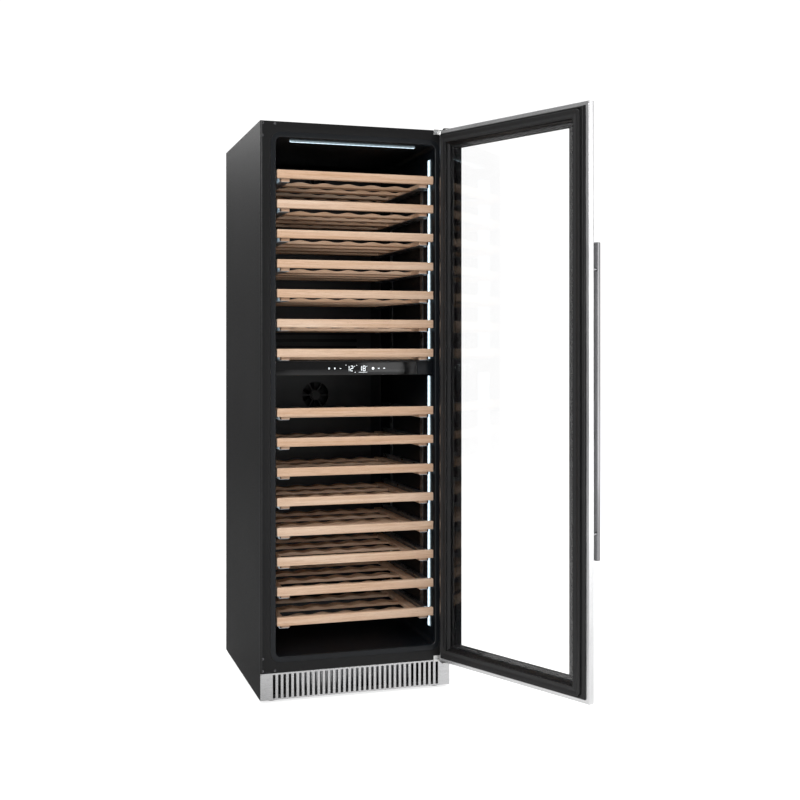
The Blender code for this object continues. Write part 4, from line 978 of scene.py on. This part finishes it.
def make_inner_frame():
    """Inner door frame: a ribbed plastic section carried round the door, notched for the inner pane."""
    low, high = shut_box("door_trim")
    frame_low, frame_high = shut_box("door_inner_frame")
    pane_low, pane_high = shut_box("inner_glass")
    back, front = frame_high[1], frame_low[1]
    gasket_low = shut_box("door_gasket")[0][1]
    outer = (frame_low[0] - low[0]) / MM
    seat = (back - gasket_low) / MM + 0.3
    pane_back, pane_front = (back - pane_high[1]) / MM - 0.3, (back - pane_low[1]) / MM + 0.3
    depth = (back - front) / MM
    pane = (pane_low[0] - low[0]) / MM
    lip, spacer = pane + 4, pane + 12
    ledge = (back - high[1]) / MM - 0.3
    rim = outer - 5                  # laps over the trim's ledge
    # inset and drop from the section's highest face, and the corner radius, in millimetres
    section = [(outer, depth, 1), (outer, ledge, 1), (rim, ledge, 1), (rim, ledge - 3, 1),
               (rim + 1.5, 3.4, 1.5), (rim + 2.6, 2.4, 1.5), (rim + 3.4, 0.6, 2), (rim + 4.6, 0, 2),
               (19.6, 0, 3), (20.6, 1.2, 11), (20.6, seat, 11), (45.4, seat, 1.5), (45.4, 0.7, 1.5),
               (45.9, 0, 2), (46.8, 0.2, 2), (48.2, 2.4, 3), (48.9, 4.0, 3), (49.7, 4.4, 3), (51.2, 6.6, 3),
               (lip - 0.2, 8.4, 2), (lip, 9.2, 2), (lip, pane_back, 2), (pane - 0.4, pane_back, 2),
               (pane - 0.4, pane_front, 2), (spacer - 0.6, pane_front, 4), (spacer, pane_front + 0.6, 4),
               (spacer, depth, 4)]
    inset, drop, radius = (np.array(v, float) * MM for v in zip(*section))
    door_piece("door_inner_moulding", moulding(inset, back - drop, radius, low, high),
               MATERIALS["door_plastic"], ("door_inner_frame",))


def make_glass_border():
    """Black enamel fired on the outer pane's inner face: a frame-shaped film, wider at the sides."""
    low, high = shut_box("door_trim")
    side, end, outer = 83 * MM, 63.5 * MM, 17 * MM
    half = (high - low) / 2
    out, face = np.array([1, 0, 0, 1, 1]), np.array([0, 0, 0.12, 0.12, 0]) * MM
    loops = rounded_loop(half[0] - np.where(out, outer, side), half[2] - np.where(out, outer, end), 2 * MM, 4)
    face += shut_box("outer_glass")[1][1] + 0.05 * MM
    door_piece("outer_glass_enamel", ring(loops, face, (low + high) / 2),
               MATERIALS["enamel"])


def make_gasket():
    """Magnetic gasket: a bellows section with a flat magnet pocket on top, carried round the door."""
    low, high = shut_box("door_trim")
    gasket_low, gasket_high = shut_box("door_gasket")
    top, seat = gasket_high[1], gasket_low[1]
    # inset in millimetres and share of the gasket's height
    section = [(21.2, 0.0), (21.2, 0.18), (23.4, 0.34), (21.6, 0.5), (21.3, 0.62), (21.3, 0.9), (22.0, 1.0),
               (29.0, 1.0), (30.5, 0.93), (35.5, 0.93), (37.0, 1.0), (43.8, 1.0), (44.6, 0.9), (44.6, 0.62),
               (44.3, 0.5), (42.4, 0.34), (44.8, 0.18), (44.8, 0.0)]
    inset, share = (np.array(v, float) for v in zip(*section))
    radius = np.maximum(12 - (inset - 21), 1.5)
    shape = moulding(inset * MM, seat + share * (top - seat), radius * MM, low, high)
    door_piece("door_gasket_bellows", shape, MATERIALS["gasket"], ("door_gasket",))


def make_handle():
    """Handle: a square bar with softened edges on two turned posts with collars."""
    low, high = shut_box("handle_bar")
    door_piece("handle_grip", rounded_bar(low, high, 2, 1.6 * MM, 4), MATERIALS["handle"],
               ("handle_bar",))
    for word in ("upper", "lower"):
        low, high = shut_box("handle_post_" + word)
        middle, radius = (low + high) / 2, (high[0] - low[0]) / 2
        reach = high[1] - low[1]
        collar = radius + 2.2 * MM
        profile = [(0.0, 0.0), (0.0, radius), (reach - 3.4 * MM, radius),
                   (reach - 3.0 * MM, collar - 0.6 * MM), (reach - 2.4 * MM, collar),
                   (reach - 0.1 * MM, collar), (reach - 0.1 * MM, 0.0)]
        shape = turned(profile, (middle[0], low[1], middle[2]), (0, 1, 0), 32)
        door_piece("handle_stud_" + word, shape, MATERIALS["handle"], ("handle_post_" + word,))


def make_fasteners():
    """Screws of the hinge brackets and of the back panel."""
    face = box_of("front_frame")[0][1] - 3.3 * MM
    for word in ("top", "bottom"):
        low, high = box_of(word + "_hinge_bracket")
        z = high[2] - 8.5 * MM if word == "top" else low[2] + 9.5 * MM
        places = [(low[0] + x * MM, face, z) for x in (9, 37)]
        piece(word + "_bracket_screws", screw_heads(places, (0, -1, 0), SCREW_HEAD), "cabinet",
              MATERIALS["zinc"])
    low, high = box_of("back_panel")
    inset, rows = 9 * MM, 6
    heights = np.linspace(low[2] + 12 * MM, high[2] - 12 * MM, rows)
    places = [(side * (high[0] - inset), high[1], z) for side in (-1, 1) for z in heights]
    places += [(x, high[1], high[2] - inset) for x in (-0.15, 0.0, 0.15)]
    piece("back_panel_screws", screw_heads(places, (0, 1, 0), BACK_SCREW_HEAD), "cabinet",
          MATERIALS["zinc"])


# Name, place, aim, size and radiance
SOFTBOXES = (
    ("key", (-3.4, -4.2, 3.0), (0.0, -0.3, 0.9), (2.4, 2.4), 8.4),
    ("overhead", (0.3, -0.4, 4.8), (0.3, -0.4, 0.0), (5.0, 5.0), 1.6),
    ("left_rear", (-1.5, 5.0, 3.4), (-0.3, 0.0, 1.5), (1.6, 1.4), 9.0),
    ("right", (3.6, -2.0, 1.2), (0.6, -0.9, 1.0), (1.2, 2.6), 2.0),
    ("front_right", (2.3, -4.2, 1.1), (0.0, -0.3, 0.9), (1.8, 1.8), 2.0),
)
STUDIO_DIM = 0.35        # radiance of the studio away from its backdrop
STUDIO_BACKDROP = 1.08
FLOOR_GLOW = 0.8         # what the floor adds to its own lit tone where it is seen directly
FLOOR_POOL = 0.7         # share of that glow in reflections, on the floor's right side
FLOOR_REACH = 14.0       # half the floor's side
FLOOR_DROP = 0.0005      # below the lowest point of the frame
CAMERA_PLACE = (-0.957, -3.772, 1.0595)
CAMERA_TURN = -17.55     # degrees about +Z from looking along +Y
CAMERA_LENS = 53.1
CAMERA_SHIFT = -0.067


def ramp(tree, value, low, high, top=1.0):
    """A smooth rise from 0 to top as the value goes from low to high."""
    return add(tree, "MapRange", {"Value": value, "From Min": low, "From Max": high, "To Max": top},
               interpolation_type="SMOOTHSTEP").outputs["Result"]


def seen_directly(tree, path):
    """1 for rays from the camera, straight or through glass, and 0 for light and reflections."""
    return maths(tree, "MAXIMUM", path.outputs["Is Camera Ray"], path.outputs["Is Transmission Ray"])


def make_studio():
    """The studio: a white backdrop behind the cooler and to its right, dimmer all round the rest.

    Seen directly it is all as white as the backdrop. Only its light and its reflections are dimmer.
    """
    world = bpy.data.worlds.new("studio")
    world.use_nodes = True
    tree = world.node_tree
    way = add(tree, "SeparateXYZ", {0: add(tree, "TexCoord").outputs["Generated"]})
    backdrop = maths(tree, "MULTIPLY", ramp(tree, way.outputs["X"], -0.14, -0.03),
                     ramp(tree, way.outputs["Y"], 0.3, 0.7))
    share = maths(tree, "MAXIMUM", backdrop, seen_directly(tree, add(tree, "LightPath")))
    strength = add(tree, "MapRange", {"Value": share, "To Min": STUDIO_DIM, "To Max": STUDIO_BACKDROP})
    tree.links.new(strength.outputs["Result"], tree.nodes["Background"].inputs["Strength"])
    tree.nodes["Background"].inputs["Color"].default_value = (1.0, 1.0, 1.0, 1.0)
    return world


def make_floor():
    """Pale floor that glows where it is seen directly, and on its right side in reflections.

    The glow lightens the cooler's shadow on it. In reflections it fades out to the left, which is the
    part of the floor that the dark side panel mirrors.
    """
    z = float(cad_box[0].z) - FLOOR_DROP
    mesh = bpy.data.meshes.new("floor")
    corners = [(a * FLOOR_REACH, b * FLOOR_REACH, z) for a, b in ((-1, -1), (1, -1), (1, 1), (-1, 1))]
    mesh.from_pydata(corners, [], [(0, 1, 2, 3)])
    floor = bpy.data.objects.new("floor", mesh)
    bpy.context.scene.collection.objects.link(floor)
    material, tree, shader = start("pale_floor", Roughness=0.8, Specular_IOR_Level=0.1)
    shader.inputs["Emission Color"].default_value = (1.0, 1.0, 1.0, 1.0)
    path = add(tree, "LightPath")
    place = add(tree, "SeparateXYZ", {0: add(tree, "TexCoord").outputs["Object"]})
    pool = ramp(tree, place.outputs["X"], -0.45, -0.05, FLOOR_POOL)
    mirrored = maths(tree, "MULTIPLY", path.outputs["Is Glossy Ray"], pool)
    share = maths(tree, "MAXIMUM", seen_directly(tree, path), mirrored)
    drive(tree, shader, Base_Color=between(tree, noise(tree, 2500.0), "#c8c8c8", "#cccccc"),
          Emission_Strength=maths(tree, "MULTIPLY", share, FLOOR_GLOW))
    mesh.materials.append(material)


def make_stage():
    """Plain pale floor, soft studio light and the camera."""
    scene = bpy.context.scene
    make_floor()
    scene.world = make_studio()
    scene.view_settings.view_transform = "Standard"
    for name, place, aim, size, radiance in SOFTBOXES:
        lamp = bpy.data.lights.new(name, "AREA")
        lamp.shape = "RECTANGLE"
        lamp.size, lamp.size_y = size
        lamp.energy = radiance * math.pi * size[0] * size[1]
        obj = bpy.data.objects.new(name, lamp)
        obj.location = place
        obj.rotation_euler = (Vector(aim) - Vector(place)).to_track_quat("-Z", "Y").to_euler()
        scene.collection.objects.link(obj)
    camera = bpy.data.cameras.new("camera")
    camera.sensor_width = 36.0
    camera.lens = CAMERA_LENS
    camera.shift_y = CAMERA_SHIFT
    obj = bpy.data.objects.new("camera", camera)
    obj.location = CAMERA_PLACE
    obj.rotation_euler = (math.pi / 2, 0.0, math.radians(CAMERA_TURN))
    scene.collection.objects.link(obj)
    scene.camera = obj


# ---------------------------------------------------------------- operators

class COOLER_OT_materials(bpy.types.Operator):
    """Make the materials and give the frame's own nodes theirs"""
    bl_idname = "cooler.materials"
    bl_label = "Materials"
    bl_options = {"REGISTER", "UNDO"}

    def execute(self, context):
        make_materials(context.scene.cooler_colours)
        for key, nodes in CARRIED.items():
            for node in nodes:
                obj = frame["nodes"][node]
                obj.data.materials.clear()
                obj.data.materials.append(MATERIALS[key])
        return {"FINISHED"}


class COOLER_OT_cabinet(bpy.types.Operator):
    """Make the front frame, the liner and the fasteners"""
    bl_idname = "cooler.cabinet"
    bl_label = "Cabinet"
    bl_options = {"REGISTER", "UNDO"}

    def execute(self, context):
        make_cabinet_front()
        make_liner()
        make_fasteners()
        return {"FINISHED"}


class COOLER_OT_lights(bpy.types.Operator):
    """Make the light strips"""
    bl_idname = "cooler.lights"
    bl_label = "Lights"
    bl_options = {"REGISTER", "UNDO"}

    def execute(self, context):
        make_light("ceiling_light", 0, MATERIALS["lens_level"])
        for node in ("upper_light_left", "upper_light_right", "lower_light_left", "lower_light_right"):
            make_light(node, 2, MATERIALS["lens_upright"])
        return {"FINISHED"}


class COOLER_OT_control_panel(bpy.types.Operator):
    """Make the touch panel between the zones"""
    bl_idname = "cooler.control_panel"
    bl_label = "Control panel"
    bl_options = {"REGISTER", "UNDO"}

    def execute(self, context):
        make_control_panel()
        return {"FINISHED"}


class COOLER_OT_grille(bpy.types.Operator):
    """Make the kick grille"""
    bl_idname = "cooler.grille"
    bl_label = "Kick grille"
    bl_options = {"REGISTER", "UNDO"}

    def execute(self, context):
        make_grille()
        return {"FINISHED"}


class COOLER_OT_shelves(bpy.types.Operator):
    """Make the sliding shelves"""
    bl_idname = "cooler.shelves"
    bl_label = "Shelves"
    bl_options = {"REGISTER", "UNDO"}

    def execute(self, context):
        for node in sorted(n for n in frame["nodes"] if n.startswith("shelf_")):
            make_shelf(node)
        return {"FINISHED"}


class COOLER_OT_door(bpy.types.Operator):
    """Make the door's trim, frame, gasket and handle"""
    bl_idname = "cooler.door"
    bl_label = "Door"
    bl_options = {"REGISTER", "UNDO"}

    def execute(self, context):
        make_trim()
        make_inner_frame()
        make_glass_border()
        make_gasket()
        make_handle()
        return {"FINISHED"}


class COOLER_OT_stage(bpy.types.Operator):
    """Make the floor, the lights and the camera"""
    bl_idname = "cooler.stage"
    bl_label = "Stage"
    bl_options = {"REGISTER", "UNDO"}

    def execute(self, context):
        make_stage()
        return {"FINISHED"}


OPERATORS = (COOLER_OT_materials, COOLER_OT_cabinet, COOLER_OT_lights, COOLER_OT_control_panel,
             COOLER_OT_grille, COOLER_OT_shelves, COOLER_OT_door, COOLER_OT_stage)


class COOLER_PT_panel(bpy.types.Panel):
    """Sidebar panel of the cooler"""
    bl_idname = "COOLER_PT_panel"
    bl_label = "Wine Cooler"
    bl_space_type = "VIEW_3D"
    bl_region_type = "UI"
    bl_category = "Wine Cooler"

    def draw(self, context):
        """List the sizes, the colours and the operators."""
        for group in (context.scene.cooler_sizes, context.scene.cooler_colours):
            column = self.layout.column(align=True)
            for name in group.__annotations__:
                column.prop(group, name)
        for operator in OPERATORS:
            self.layout.operator(operator.bl_idname)


CLASSES = (CoolerColours, CoolerSizes, *OPERATORS, COOLER_PT_panel)


def register():
    """Register the classes and the scene's properties."""
    for cls in CLASSES:
        bpy.utils.register_class(cls)
    bpy.types.Scene.cooler_colours = PointerProperty(type=CoolerColours)
    bpy.types.Scene.cooler_sizes = PointerProperty(type=CoolerSizes)


def unregister():
    """Undo register."""
    del bpy.types.Scene.cooler_sizes
    del bpy.types.Scene.cooler_colours
    for cls in reversed(CLASSES):
        bpy.utils.unregister_class(cls)


def main():
    """Register the add-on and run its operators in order."""
    register()
    bpy.ops.cooler.materials()
    bpy.ops.cooler.cabinet()
    bpy.ops.cooler.lights()
    bpy.ops.cooler.control_panel()
    bpy.ops.cooler.grille()
    bpy.ops.cooler.shelves()
    bpy.ops.cooler.door()
    bpy.ops.cooler.stage()
    bpy.context.view_layer.update()


if __name__ == "__main__":
    main()
